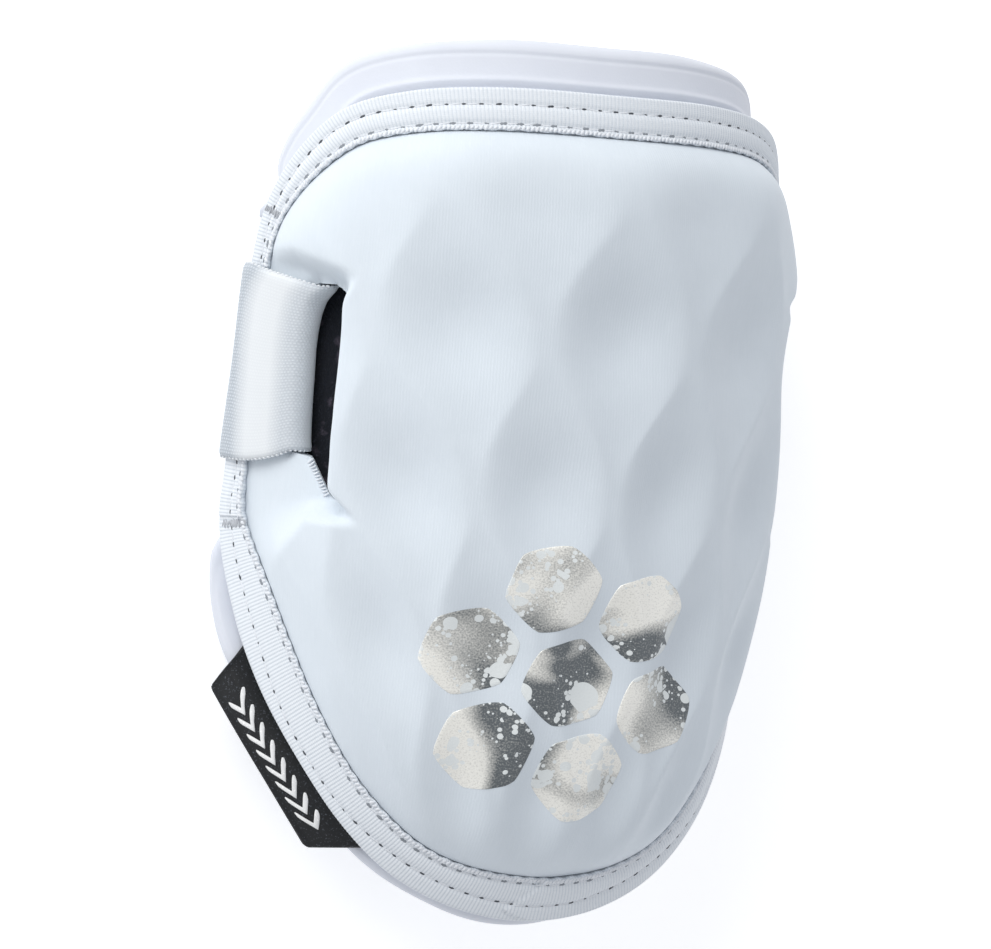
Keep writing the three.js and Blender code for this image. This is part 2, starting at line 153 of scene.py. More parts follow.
def darker(code, share):  # a hex colour at a share of its brightness
    return tuple(c * share for c in linear(code)[:3]) + (1.0,)


def firstOutput(node):
    return next(socket for socket in node.outputs if socket.enabled)


# A kind without its prefix is a shader node; an input is a value, a hex colour, a socket or a node
def addNode(tree, kind, inputs=None, **settings):
    node = tree.nodes.new(kind if "Node" in kind else "ShaderNode" + kind)
    for name, value in settings.items():
        setattr(node, name, value)
    for key, value in (inputs or {}).items():
        if isinstance(value, bpy.types.Node):
            value = firstOutput(value)
        if isinstance(value, bpy.types.NodeSocket):
            tree.links.new(value, node.inputs[key])
        elif isinstance(value, str) and value.startswith("#"):
            node.inputs[key].default_value = linear(value)
        else:
            node.inputs[key].default_value = value
    return node


def newMaterial(name, **sockets):  # an underscore stands for the space in a socket's name
    material = bpy.data.materials.new(name)
    material.use_nodes = True
    for key, value in sockets.items():
        material.node_tree.nodes["Principled BSDF"].inputs[key.replace("_", " ")].default_value = value
    return material, partial(addNode, material.node_tree)


def finishMaterial(material, height, relief, **wires):  # relief is the bump's strength and its depth in mm
    tree = material.node_tree
    strength, depth = relief
    wires["Normal"] = addNode(
        tree, "Bump", {"Strength": strength, "Distance": depth * mm, "Height": height})
    for key, node in wires.items():
        tree.links.new(firstOutput(node), tree.nodes["Principled BSDF"].inputs[key.replace("_", " ")])
    return material


def ripple(add, coordinate, period, shift=0.0):  # 0 to 1 waves of a period in the coordinate's unit
    turns = add("Math", {0: coordinate, 1: 2 * math.pi / period}, operation="MULTIPLY")
    moved = add("Math", {0: turns, 1: shift}, operation="ADD")
    wave = add("Math", {0: moved}, operation="SINE")
    return add("Math", {0: wave, 1: 0.5, 2: 0.5}, operation="MULTIPLY_ADD")


def flatPlace(add):  # the piece's own flat coordinates in millimetres
    place = add("UVMap", uv_map="flat")
    parts = add("SeparateXYZ", {0: place})
    return place, parts.outputs["X"], parts.outputs["Y"]


def makePolyesterKnit():
    # Warp-knitted polyester: fine upright wales that come and go, a faint mottle from the foam, soft sheen
    look = {
        "wale": 0.5, "course": 0.9, "courseShare": 0.1, "wobblePerMm": 1.1, "wobble": 5.0, "mottle": 5.0,
        "streak": (2.0, 0.2, 1.0), "streakShare": 0.45, "relief": (0.22, 0.12),
        "pale": "#dbe3eb", "deep": "#d1dae2",
    }
    material, add = newMaterial(
        "polyesterKnit", Roughness=0.78, Sheen_Weight=0.18, Sheen_Roughness=0.45, Specular_IOR_Level=0.28)
    place, across, up = flatPlace(add)
    mottle = add("TexNoise", {"Vector": place, "Scale": 1 / look["mottle"], "Detail": 4.0})
    drawn = add("Mapping", {"Vector": place, "Scale": look["streak"]})
    streaks = add("TexNoise", {"Vector": drawn, "Scale": 1.0, "Detail": 2.0})
    fine = add("TexNoise", {"Vector": place, "Scale": look["wobblePerMm"], "Detail": 2.0})
    lean = add("Math", {0: fine, 1: look["wobble"]}, operation="MULTIPLY")
    wales = ripple(add, across, look["wale"], lean)
    courses = ripple(add, up, look["course"], lean)
    knit = add("Math", {0: courses, 1: look["courseShare"], 2: wales}, operation="MULTIPLY_ADD")
    broken = add("Math", {0: knit, 1: streaks}, operation="MULTIPLY")
    tone = add("Mix", {"Factor": look["streakShare"], "A": mottle, "B": streaks})
    colour = add("Mix", {"Factor": tone, "A": look["deep"], "B": look["pale"]}, data_type="RGBA")
    return finishMaterial(material, broken, look["relief"], Base_Color=colour)


def makeGrosgrain():
    # Grosgrain tape: the ribs are modelled, the yarn's own twist is a fine grain over them, and painted shade
    # darkens the grooves between the ribs
    look = {"yarn": 0.35, "grain": 0.625, "grainShare": 0.6, "relief": (0.25, 0.1),
            "pale": "#e2e7ed", "grooveShade": "#c9d1da"}
    material, add = newMaterial("grosgrainTape", Roughness=0.7, Sheen_Weight=0.12, Specular_IOR_Level=0.35)
    place, lengthwise, across = flatPlace(add)
    yarn = ripple(add, across, look["yarn"])
    ribs = ripple(add, lengthwise, bindingSizes["ribPitch"])
    grain = add("TexNoise", {"Vector": place, "Scale": 1 / look["grain"], "Detail": 3.0})
    mixed = add("Math", {0: grain, 1: look["grainShare"], 2: ribs}, operation="MULTIPLY_ADD")
    # painted shade: the colour darkens in the rib grooves, broken by the grain
    tone = add("MapRange", {"Value": mixed, "From Min": 0.1, "From Max": 0.9})
    colour = add("Mix", {"Factor": tone, "A": look["grooveShade"], "B": look["pale"]}, data_type="RGBA")
    height = add("Math", {0: yarn, 1: grain}, operation="ADD")
    return finishMaterial(material, height, look["relief"], Base_Color=colour)


def makeTricot():
    # Brushed tricot over soft foam: almost smooth, a slight nap and soft creases, with painted shade
    # deepening the colour in the creases
    look = {"nap": 0.5, "napShare": 0.3, "crease": 9.0, "relief": (0.25, 0.4),
            "pale": "#d8dce5", "deep": "#d2d6e0"}
    material, add = newMaterial("brushedTricot", Roughness=0.8, Sheen_Weight=0.25, Specular_IOR_Level=0.25)
    place = flatPlace(add)[0]
    nap = add("TexNoise", {"Vector": place, "Scale": 1 / look["nap"], "Detail": 3.0})
    crease = add("TexNoise", {"Vector": place, "Scale": 1 / look["crease"], "Detail": 2.0})
    height = add("Math", {0: nap, 1: look["napShare"], 2: crease}, operation="MULTIPLY_ADD")
    # painted shade: the colour deepens where the crease noise sinks the surface
    colour = add("Mix", {"Factor": crease, "A": look["deep"], "B": look["pale"]}, data_type="RGBA")
    return finishMaterial(material, height, look["relief"], Base_Color=colour)


def makeElastic(length):
    # Woven elastic: cushions of yarn laid like bricks, with painted shade in bands in from either end, where
    # the cushions also stand higher
    look = {
        "warp": 0.64, "weft": 0.66, "wobbleSize": 1.25, "wobble": 3.0, "cushionPower": 0.6,
        "pale": "#dfe3e6", "grooveShade": "#dadee2", "paintedShade": "#cad1d9", "paintedShadeGroove": "#a9b1ba",
        "relief": (0.4, 0.2), "lift": 0.15, "openLift": 0.95, "reach": 50,
        "shadeAndLiftBands": [  # in from either end, how much painted shade and bump lift
            (6.5, 0), (8.5, 0.45), (11.8, 0.6), (15.2, 0), (20.2, 0), (22.4, 0.4), (24.2, 0.95),
            (36, 0.95), (46, 0),
        ],
    }
    material, add = newMaterial("wovenElastic", Roughness=0.85, Sheen_Weight=0.2, Specular_IOR_Level=0.25)
    place, lengthwise, across = flatPlace(add)
    other = add("Math", {0: length, 1: lengthwise}, operation="SUBTRACT")
    fromEnd = add("Math", {0: lengthwise, 1: other}, operation="MINIMUM")
    share = add("Math", {0: fromEnd, 1: 1 / look["reach"]}, operation="MULTIPLY")
    shadeAndLift = add("ValToRGB", {"Fac": share})
    stops = shadeAndLift.color_ramp.elements
    while len(stops) < len(look["shadeAndLiftBands"]):
        stops.new(0.5)
    for stop, (at, amount) in zip(stops, look["shadeAndLiftBands"]):
        stop.position, stop.color = at / look["reach"], (amount, amount, amount, 1.0)
    noise = add("TexNoise", {"Vector": place, "Scale": 1 / look["wobbleSize"], "Detail": 2.0})
    lean = add("Math", {0: noise, 1: look["wobble"]}, operation="MULTIPLY")
    rows = add("Math", {0: across, 1: 1 / look["warp"]}, operation="MULTIPLY")
    row = add("Math", {0: rows}, operation="FLOOR")
    brick = add("Math", {0: row, 1: math.pi, 2: lean}, operation="MULTIPLY_ADD")
    warp = ripple(add, across, look["warp"])
    weft = ripple(add, lengthwise, look["weft"], brick)
    cushion = add("Math", {0: warp, 1: weft}, operation="MULTIPLY")
    soft = add("Math", {0: cushion, 1: look["cushionPower"]}, operation="POWER")
    lift = add("Math", {0: shadeAndLift, 1: look["openLift"], 2: look["lift"]}, operation="MULTIPLY_ADD")
    height = add("Math", {0: soft, 1: lift}, operation="MULTIPLY")
    # painted shade: greyer yarn and grooves in the bands in from either end
    yarn = add("Mix", {"Factor": shadeAndLift, "A": look["pale"], "B": look["paintedShade"]}, data_type="RGBA")
    grooveShade = add("Mix", {"Factor": shadeAndLift, "A": look["grooveShade"], "B": look["paintedShadeGroove"]}, data_type="RGBA")
    # painted shade between the cushions
    colour = add("Mix", {"Factor": soft, "A": grooveShade, "B": yarn}, data_type="RGBA")
    return finishMaterial(material, height, look["relief"], Base_Color=colour)


def makeLoopPile():
    # Brushed nylon loop: matt black pile with grey lint caught in it
    look = {"pile": 0.5, "lint": 3.0, "black": "#1c1f26", "grey": "#4a4550", "relief": (0.8, 0.4)}
    material, add = newMaterial("nylonLoopPile", Roughness=0.95, Sheen_Weight=0.1, Specular_IOR_Level=0.15)
    place = flatPlace(add)[0]
    pile = add("TexNoise", {"Vector": place, "Scale": 1 / look["pile"], "Detail": 4.0})
    lint = add("TexNoise", {"Vector": place, "Scale": 1 / look["lint"], "Detail": 5.0})
    caught = add("MapRange", {"Value": lint, "From Min": 0.58, "From Max": 0.7})
    colour = add("Mix", {"Factor": caught, "A": look["black"], "B": look["grey"]}, data_type="RGBA")
    return finishMaterial(material, pile, look["relief"], Base_Color=colour)


def makeRubber(name, code, paintedGlint, roughness):
    # Moulded PVC rubber: matt from a blasted mould, with painted glints in specks where its fine grain would
    # catch the light
    look = {"grain": 2600.0, "cloud": 180.0, "shade": 0.75, "relief": (0.35, 0.06)}  # grain, cloud per metre
    material, add = newMaterial(name, Roughness=roughness, Specular_IOR_Level=0.4)
    place = add("TexCoord").outputs["Object"]
    grain = add("TexNoise", {"Vector": place, "Scale": look["grain"], "Detail": 2.0})
    cloud = add("TexNoise", {"Vector": place, "Scale": look["cloud"], "Detail": 3.0})
    body = add("Mix", {"Factor": cloud, "A": darker(code, look["shade"]), "B": code}, data_type="RGBA")
    # painted glints: the lighter speck colour where the grain noise peaks
    caught = add("MapRange", {"Value": grain, "From Min": 0.6, "From Max": 0.72})
    colour = add("Mix", {"Factor": caught, "A": body, "B": paintedGlint}, data_type="RGBA")
    return finishMaterial(material, grain, look["relief"], Base_Color=colour)


def makeThread(name, code):
    # Polyester sewing thread: a slight gloss and a twist that breaks up the light
    look = {"twist": 3000.0, "shade": 0.82, "relief": (0.3, 0.05)}  # twist per metre
    material, add = newMaterial(name, Roughness=0.55, Sheen_Weight=0.1, Specular_IOR_Level=0.4)
    place = add("TexCoord").outputs["Object"]
    twist = add("TexNoise", {"Vector": place, "Scale": look["twist"], "Detail": 2.0})
    colour = add("Mix", {"Factor": twist, "A": darker(code, look["shade"]), "B": code}, data_type="RGBA")
    return finishMaterial(material, twist, look["relief"], Base_Color=colour)


def makeFoil():
    # Heat-transfer silver foil: crushed, grainy silver, its light and dark sweeps and glints painted into the
    # colour as reflections, pale droplets without foil
    look = {
        "grain": 0.32, "paintedGlints": 0.24, "sweep": 20.0, "swirl": 0.8, "crowd": 12.5, "relief": (0.5, 0.12),
        "reflectionBright": "#f7f6f0", "reflectionDark": "#646a6e", "drop": "#e0e5e6",
        "drops": [(5.6, 0.72), (2.6, 0.7), (1.1, 0.7)],  # spacing, largest radius as a share of it
    }
    material, add = newMaterial("silverFoil", Specular_IOR_Level=0.5)
    place = flatPlace(add)[0]
    sweep = add("TexNoise", {"Vector": place, "Scale": 1 / look["sweep"], "Detail": 1.0,
                             "Distortion": look["swirl"]})
    reflectionBands = add("MapRange", {"Value": sweep, "From Min": 0.38, "From Max": 0.54})
    grain = add("TexNoise", {"Vector": place, "Scale": 1 / look["grain"], "Detail": 2.0})
    paintedGlints = add("MapRange", {"Value": grain, "From Min": 0.3, "From Max": 0.7,
                               "To Min": -look["paintedGlints"], "To Max": look["paintedGlints"]})
    # painted reflections: light and dark sweeps, with painted glints from the grain
    shine = add("Math", {0: reflectionBands, 1: paintedGlints}, operation="ADD")
    silver = add("Mix", {"Factor": shine, "A": look["reflectionDark"], "B": look["reflectionBright"]}, data_type="RGBA")
    spread = add("TexNoise", {"Vector": place, "Scale": 1 / look["crowd"], "Detail": 1.0})
    crowd = add("MapRange", {"Value": spread, "From Min": 0.35, "From Max": 0.58})
    drops = 0.0
    for size, largest in look["drops"]:
        cells = add("TexVoronoi", {"Vector": place, "Scale": 1 / size, "Randomness": 1.0})
        chance = add("SeparateColor", {"Color": cells.outputs["Color"]})
        radius = add("Math", {0: chance, 1: crowd}, operation="MULTIPLY")
        reach = add("Math", {0: radius, 1: largest}, operation="MULTIPLY")
        spot = add("Math", {0: cells, 1: reach}, operation="LESS_THAN")
        drops = add("Math", {0: drops, 1: spot}, operation="MAXIMUM")
    colour = add("Mix", {"Factor": drops, "A": silver, "B": look["drop"]}, data_type="RGBA")
    metal = add("MapRange", {"Value": drops, "To Min": 0.35, "To Max": 0.05})
    rough = add("MapRange", {"Value": grain, "To Min": 0.3, "To Max": 0.55})
    return finishMaterial(
        material, grain, look["relief"], Base_Color=colour, Metallic=metal, Roughness=rough)


def placeObject(name, data):
    thing = bpy.data.objects.new(name, data)
    bpy.context.scene.collection.objects.link(thing)
    return thing


def newPiece(name, points, faces, flat=None, material=None):
    mesh = bpy.data.meshes.new(name)
    mesh.from_pydata((np.asarray(points) * mm).tolist(), [], faces)
    if flat is not None:
        layer = mesh.uv_layers.new(name="flat")
        corners = np.empty(len(mesh.loops), np.int64)
        mesh.loops.foreach_get("vertex_index", corners)
        layer.data.foreach_set("uv", np.asarray(flat, np.float32)[corners].ravel())
    mesh.polygons.foreach_set("use_smooth", np.ones(len(mesh.polygons), bool))
    if material is not None:
        mesh.materials.append(material)
    shell = bmesh.new()
    shell.from_mesh(mesh)
    if shell.calc_volume(signed=True) < 0:  # faces of a closed shell point outwards
        bmesh.ops.reverse_faces(shell, faces=shell.faces[:])
    shell.to_mesh(mesh)
    shell.free()
    return placeObject(name, mesh)


def shellFaces(rings, count, endless=False):  # quads between closed rings, with a fan at each end or none
    k, i = np.meshgrid(np.arange(rings if endless else rings - 1), np.arange(count), indexing="ij")
    a, b, j = k * count, (k + 1) % rings * count, (i + 1) % count
    quads = np.stack([a + i, b + i, b + j, a + j], -1).reshape(-1, 4).tolist()
    if endless:
        return quads
    ring, last = np.arange(count), (rings - 1) * count
    after = (ring + 1) % count
    first = np.stack([np.full(count, rings * count), ring, after], -1)
    end = np.stack([np.full(count, rings * count + 1), last + after, last + ring], -1)
    return quads + first.tolist() + end.tolist()


def capped(sections):  # points and faces along a row of closed sections, with a fan over each end
    sections = np.asarray(sections)
    ends = [sections[0].mean(0)[None], sections[-1].mean(0)[None]]
    return np.vstack([sections.reshape(-1, 3), *ends]), shellFaces(*sections.shape[:2])


def newTube(name, sections, flat=None, material=None):
    if flat is not None:
        flat = np.vstack([flat, flat[:1], flat[-1:]])
    return newPiece(name, *capped(sections), flat, material)


def joined(shells):  # points and faces of several shells as one
    points, faces, start = [], [], 0
    for shell, own in shells:
        points.append(shell)
        faces += [[corner + start for corner in face] for face in own]
        start += len(shell)
    return np.vstack(points), faces


def settle(piece):  # the evaluated mesh takes the place of the modifiers
    bpy.context.view_layer.update()
    graph = bpy.context.evaluated_depsgraph_get()
    mesh = bpy.data.meshes.new_from_object(piece.evaluated_get(graph))
    piece.modifiers.clear()
    piece.data = mesh
    return piece


def keep(piece, slot, *nodes):  # the piece rides on the guard's one body
    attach(piece, "root")
    if nodes:
        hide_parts(*nodes)
    return piece


# Geometry Nodes tree that lays one small bead on each point, turned along the seam and the surface
def beadTree():
    tree = bpy.data.node_groups.new("beadsAlongSeam", "GeometryNodeTree")
    add, face = partial(addNode, tree), tree.interface
    face.new_socket("Points", in_out="INPUT", socket_type="NodeSocketGeometry")
    for name, value in (("Length", 0.002), ("Width", 0.0004), ("Height", 0.0003), ("Jitter", 0.1),
                        ("Lean", 0.1), ("Turn", 0.0)):
        face.new_socket(name, in_out="INPUT", socket_type="NodeSocketFloat").default_value = value
    face.new_socket("Seed", in_out="INPUT", socket_type="NodeSocketInt").default_value = 7
    face.new_socket("Material", in_out="INPUT", socket_type="NodeSocketMaterial")
    face.new_socket("Beads", in_out="OUTPUT", socket_type="NodeSocketGeometry")
    given = add("NodeGroupInput").outputs
    out = add("GeometryNodeInputNamedAttribute", {"Name": "out"}, data_type="FLOAT_VECTOR")
    ahead = add("GeometryNodeInputNamedAttribute", {"Name": "ahead"}, data_type="FLOAT_VECTOR")
    upright = add("FunctionNodeAlignRotationToVector", {"Vector": out}, axis="Z")
    turned = add("FunctionNodeAlignRotationToVector", {"Rotation": upright, "Vector": ahead},
                 axis="X", pivot_axis="Z")
    less = add("Math", {0: given["Lean"], 1: -1.0}, operation="MULTIPLY")
    sway = add("FunctionNodeRandomValue", {"Min": less, "Max": given["Lean"], "Seed": given["Seed"]},
               data_type="FLOAT")
    heading = add("Math", {0: sway, 1: given["Turn"]}, operation="ADD")
    spin = add("CombineXYZ", {"Z": heading})
    leaning = add("FunctionNodeRotateRotation", {"Rotation": turned, "Rotate By": spin},
                  rotation_space="LOCAL")
    ball = add("GeometryNodeMeshUVSphere", {"Segments": 8, "Rings": 6, "Radius": 0.5})
    size = add("CombineXYZ", {"X": given["Length"], "Y": given["Width"], "Z": given["Height"]})
    bead = add("GeometryNodeTransform", {"Geometry": ball, "Scale": size})
    low = add("Math", {0: 1.0, 1: given["Jitter"]}, operation="SUBTRACT")
    high = add("Math", {0: 1.0, 1: given["Jitter"]}, operation="ADD")
    grow = add("FunctionNodeRandomValue", {"Min": low, "Max": high, "Seed": given["Seed"]}, data_type="FLOAT")
    laid = add("GeometryNodeInstanceOnPoints",
               {"Points": given["Points"], "Instance": bead, "Rotation": leaning, "Scale": grow})
    real = add("GeometryNodeRealizeInstances", {"Geometry": laid})
    smooth = add("GeometryNodeSetShadeSmooth", {"Geometry": real})
    dressed = add("GeometryNodeSetMaterial", {"Geometry": smooth, "Material": given["Material"]})
    add("NodeGroupOutput", {"Beads": dressed})
    return tree


beads = beadTree()


def stand(s, y, h, ds, dy):  # a bead's place on the seat, the way it runs and the way up
    here = seat(s, y, h)
    return here, seat(s + ds, y + dy, h) - here, seat(s, y, h + 1) - here


def layBeads(name, places, material, bead, seed):  # bead holds the tree's inputs, its sizes in millimetres
    points, ahead, out = places
    mesh = bpy.data.meshes.new(name)
    mesh.from_pydata((np.asarray(points) * mm).tolist(), [], [])
    for label, vectors in (("ahead", ahead), ("out", out)):
        layer = mesh.attributes.new(label, "FLOAT_VECTOR", "POINT")
        layer.data.foreach_set("vector", np.asarray(vectors, np.float32).ravel())
    piece = placeObject(name, mesh)
    modifier = piece.modifiers.new("beads", "NODES")
    modifier.node_group = beads
    values = {**bead, "Seed": seed, "Material": material}
    for key in ("Length", "Width", "Height"):
        values[key] *= mm
    for item in beads.interface.items_tree:
        if item.in_out == "INPUT" and item.name in values:
            modifier[item.identifier] = values[item.name]
    return settle(piece)


# Outer pad: moulded foam in a knit cover
padSizes = {
    "segments": 440, "rings": 150, "innermost": 0.994, "flangeRings": 7, "foot": 0.998,
    "backRings": 16, "backInnermost": 0.97, "sharpAngle": 50,
    "flangeSpare": 0.15, "flangeInner": 1.4, "flangeOuter": 3.8, "bodyStart": 4.65, "bodyHeight": 10.5,
    "shoulder": [(-80, 15), (-30, 21), (30, 22), (55, 13), (70, 9)],  # y, width of the rounded shoulder
    "shoulderPower": 2.2,
    "tapeWidth": [  # y, width of the tape in front
        (-82, 8.6), (-76, 7.2), (-60, 6.8), (-38, 9.1), (-24, 8.8), (-4, 5.4), (40, 3.9), (55, 5.2),
        (74, 7.4),
    ],
    "dentRow": 28, "dentPitchY": 60, "dentPitchS": 22.8, "dentTaper": 0.158, "dentDepth": 2.6,
    "dentRoundness": 0.12, "dentPower": 0.85, "dentSway": 0.028, "dentSwayPhase": 0.6,
    "dentLean": 0.35, "dentLeanPhase": 1.1, "dentFade": (-5.0, 27.0),
    "dipMiddle": 16.7, "dipHalf": 25.9, "dipInner": 46.6, "dipWall": 2.6, "dipEndWall": 4.6,
    "dipFlareHigh": 2.8, "dipFlareLow": 6.5, "dipFlareLength": 8.0, "dipSpread": 1.5, "dipSpreadFrom": 51,
    "dipLean": 0.28, "dipLeanFrom": 58,
    "slot": [  # y, inner edge, outer edge, how far the outer edge is cut back behind
        (-4.6, 47.5, 47.9, 1.4), (-3.8, 47.5, 48.8, 1.7), (2.9, 47.7, 53, 2), (3.6, 47.8, 57.9, 0),
        (9, 48.8, 57.9, 0), (26, 49.1, 57.8, 0), (33.6, 48.1, 57.2, 0), (34.9, 49.3, 56.2, 0),
        (35.9, 51, 54.6, 0),
    ],
    "slotLip": 1.6, "slotLipDrop": 0.9, "slotRows": 60,
    "slotCutLow": -2, "slotCutHigh": 14, "slotCutSteps": 4,
}


def tapeWidth(rimY):
    return along(padSizes["tapeWidth"], rimY)


def flangeWidth(rimY):
    return tapeWidth(rimY) + padSizes["flangeSpare"]


def dent(s, y):  # teardrop dents on a staggered lattice, meeting in narrow S-shaped ridges
    p = padSizes
    down = (y - p["dentRow"]) / p["dentPitchY"]
    wavy = 4 * np.pi * down
    across = s / (p["dentPitchS"] + p["dentTaper"] * y)
    drop = down - p["dentSway"] * (np.sin(wavy - p["dentSwayPhase"]) + math.sin(p["dentSwayPhase"]))
    wave = np.cos(np.pi * (across + drop)) * np.cos(np.pi * (across - drop))
    soft = np.sqrt(wave ** 2 + p["dentRoundness"] ** 2) - p["dentRoundness"]
    return soft ** p["dentPower"] * (1 + p["dentLean"] * np.sin(wavy + p["dentLeanPhase"]))


def dip(s, y):  # 1 in the strap's recess at either side, 0 on the pad round it
    p = padSizes
    across = np.abs(s)
    low = y < p["dipMiddle"]
    lean = np.where(low, 0, p["dipLean"] * np.maximum(p["dipLeanFrom"] - across, 0))
    spread = np.where(low, p["dipSpread"] * np.maximum(across - p["dipSpreadFrom"], 0), 0)
    fromEnd = p["dipHalf"] - lean - np.abs(y - p["dipMiddle"])
    end = ease(1 - fromEnd / p["dipFlareLength"])
    inner = p["dipInner"] - np.where(low & (s < 0), p["dipFlareLow"], p["dipFlareHigh"]) * end
    wall = p["dipWall"] + (p["dipEndWall"] - p["dipWall"]) * end
    return ease((across - inner) / wall) * ease((fromEnd + spread) / (p["dipEndWall"] + spread))


def slotEdge():  # rows along the right slot: y, inner edge, outer edge and how far that is cut back
    table = np.array(padSizes["slot"])
    ys = np.linspace(table[0, 0], table[-1, 0], padSizes["slotRows"])
    return ys, *(np.interp(ys, table[:, 0], table[:, column]) for column in (1, 2, 3))


def slotLip(s, y):  # how far the cover rounds over into the slot
    lip = padSizes["slotLip"]
    ys, inner, outer, _ = slotEdge()
    edge = np.concatenate([np.stack([inner, ys], -1), np.stack([outer, ys], -1)])
    low, high = edge.min(0) - lip, edge.max(0) + lip
    close = (np.abs(s) > low[0]) & (np.abs(s) < high[0]) & (y > low[1]) & (y < high[1])
    away = np.hypot(np.abs(s[close])[:, None] - edge[:, 0], y[close][:, None] - edge[:, 1]).min(1)
    drop = np.zeros(np.shape(s))
    drop[close] = padSizes["slotLipDrop"] * np.clip(1 - away / lip, 0, 1) ** 2
    return drop


def frontHeight(s, y):
    p = padSizes
    depth, rimY = nearRim(s, y)
    depth = depth - flangeWidth(rimY)
    rise = 1 - (1 - np.clip(depth / along(p["shoulder"], y), 0, 1)) ** p["shoulderPower"]
    plain = p["bodyStart"] + (p["bodyHeight"] - p["bodyStart"]) * rise
    start, spread = p["dentFade"]
    moulded = plain - p["dentDepth"] * dent(s, y) * ease((depth - start) / spread)
    low = dip(s, y)
    return moulded * (1 - low) + p["flangeOuter"] * low


def makeOuterPad(material):
    p = padSizes
    rs, ry, outS, outY, _ = rimLoop(p["segments"])
    width, middle, gap = flangeWidth(ry), pattern["middle"], pattern["clearance"]
    rings = []

    def addRing(depth, shrink, height=None):  # without a height it lies on the moulded front
        s = (rs - outS * depth) * (1 - shrink)
        y = middle + (ry - outY * depth - middle) * (1 - shrink)
        h = frontHeight(s, y) - slotLip(s, y) if height is None else np.full(len(s), height)
        rings.append((s, y, h))

    for shrink in np.linspace(p["innermost"], 0, p["rings"]):
        addRing(width, shrink)
    for share in np.linspace(p["foot"], 0, p["flangeRings"]):
        addRing(np.maximum(width * share, gap), 0, p["flangeOuter"])
    addRing(gap, 0, p["flangeInner"])
    addRing(width * p["foot"], 0, p["flangeInner"])
    for shrink in np.linspace(0, p["backInnermost"], p["backRings"]):
        addRing(width, shrink, 0.0)
    s, y, h = np.array(rings).transpose(1, 0, 2).reshape(3, -1)
    crown = frontHeight(np.zeros(1), np.array([middle]))[0]
    points = np.vstack([seat(s, y, h), *(seat(0.0, middle, height)[None] for height in (crown, 0.0))])
    flat = np.vstack([np.stack([s, y], -1), [[0, middle]] * 2])
    pad = newPiece("outerPad", points, shellFaces(len(rings), p["segments"]), flat, material)
    for side in (1, -1):
        cutter = slotCutter(side)
        cut = pad.modifiers.new("slot", "BOOLEAN")
        cut.operation, cut.solver, cut.object = "DIFFERENCE", "MANIFOLD", cutter
        settle(pad)
        bpy.data.objects.remove(cutter)
    pad.data.set_sharp_from_angle(angle=math.radians(p["sharpAngle"]))
    return pad


def slotCutter(side):
    p = padSizes
    ys, inner, outer, under = slotEdge()
    s = np.concatenate([inner, outer[::-1]]) * side
    back = np.concatenate([inner * 0, under[::-1]]) * side
    y = np.concatenate([ys, ys[::-1]])
    heights = [*np.linspace(p["slotCutLow"], p["flangeOuter"], p["slotCutSteps"]), p["slotCutHigh"]]
    layers = [seat(s + back * max(1 - h / p["flangeOuter"], 0), y, h) for h in heights]
    return newTube("slotCutter", layers, np.tile(np.stack([s, y], -1), (len(layers), 1)))


# Binding: grosgrain tape folded round the flange, pinched by two rows of stitches
bindingSizes = {
    "thickness": 0.8, "ribPitch": 0.72, "samplesPerRib": 4, "ribHeight": 0.07, "edgeRib": 1.2,
    "outerRow": [  # y, row of stitches in from the rim
        (-82, 3.0), (-74, 2.7), (-62, 1.3), (-48, 1.5), (-34, 3.0), (-20, 3.1), (40, 1.8), (60, 1.7),
        (74, 2.5),
    ],
    "innerRow": 1.3, "pinch": 0.3, "pinchWidth": 0.45, "puff": 0.16, "puffEase": 1.5,
    "scallop": 0.22, "scallopPitch": 3.3, "cutEdge": 0.3,
    "lapTip": 6.5, "lapPeak": 1.6, "lapSlantIn": 1.07, "lapSlantOut": 3.4, "lapLength": 13.0, "lapFade": 8.0,
    "lapHeight": 0.5, "endPlace": -10.3, "endLength": 3.0, "endFade": 7.0, "endHeight": 0.45,
    "frontShares": (0.985, 0.02, 22), "frontEdgeDrop": 0.35, "backShares": (0.05, 0.4, 0.75, 1.0),
    "foldAngle": 80, "foldLines": 11, "foldPower": 0.7, "foldRib": (0.8, 0.5), "foldRun": 4.0,
}


def tapeLaps(depth, rimY, run):  # the tape's pointed end at the tip, and its cut ends below the strap
    b = bindingSizes

    def lap(past, name):  # a step up at the cut edge, fading out after a length
        up = ease(past / b["cutEdge"])
        return b[name + "Height"] * up * (1 - ease((past - b[name + "Length"]) / b[name + "Fade"]))

    inPast, outPast = np.maximum(depth - b["lapPeak"], 0), np.maximum(b["lapPeak"] - depth, 0)
    slant = b["lapSlantIn"] * inPast + b["lapSlantOut"] * outPast
    return lap(rimLength / 2 + b["lapTip"] - slant - run, "lap") + lap(rimY - b["endPlace"], "end")


def outerSeam(rimY):
    return along(bindingSizes["outerRow"], rimY)


def innerSeam(rimY):
    return tapeWidth(rimY) - bindingSizes["innerRow"]


def frontOfTape(depth, rimY, run):  # height of the tape's front over the seat
    b = bindingSizes
    high = padSizes["flangeOuter"] + pattern["clearance"] + b["thickness"]
    outer, inner = outerSeam(rimY), innerSeam(rimY)
    rows = sum(np.exp(-((depth - row) / b["pinchWidth"]) ** 2) for row in (outer, inner))
    between = ease((depth - outer) / b["puffEase"]) * ease((inner - depth) / b["puffEase"])
    return high - b["pinch"] * rows + b["puff"] * between + tapeLaps(depth, rimY, run)


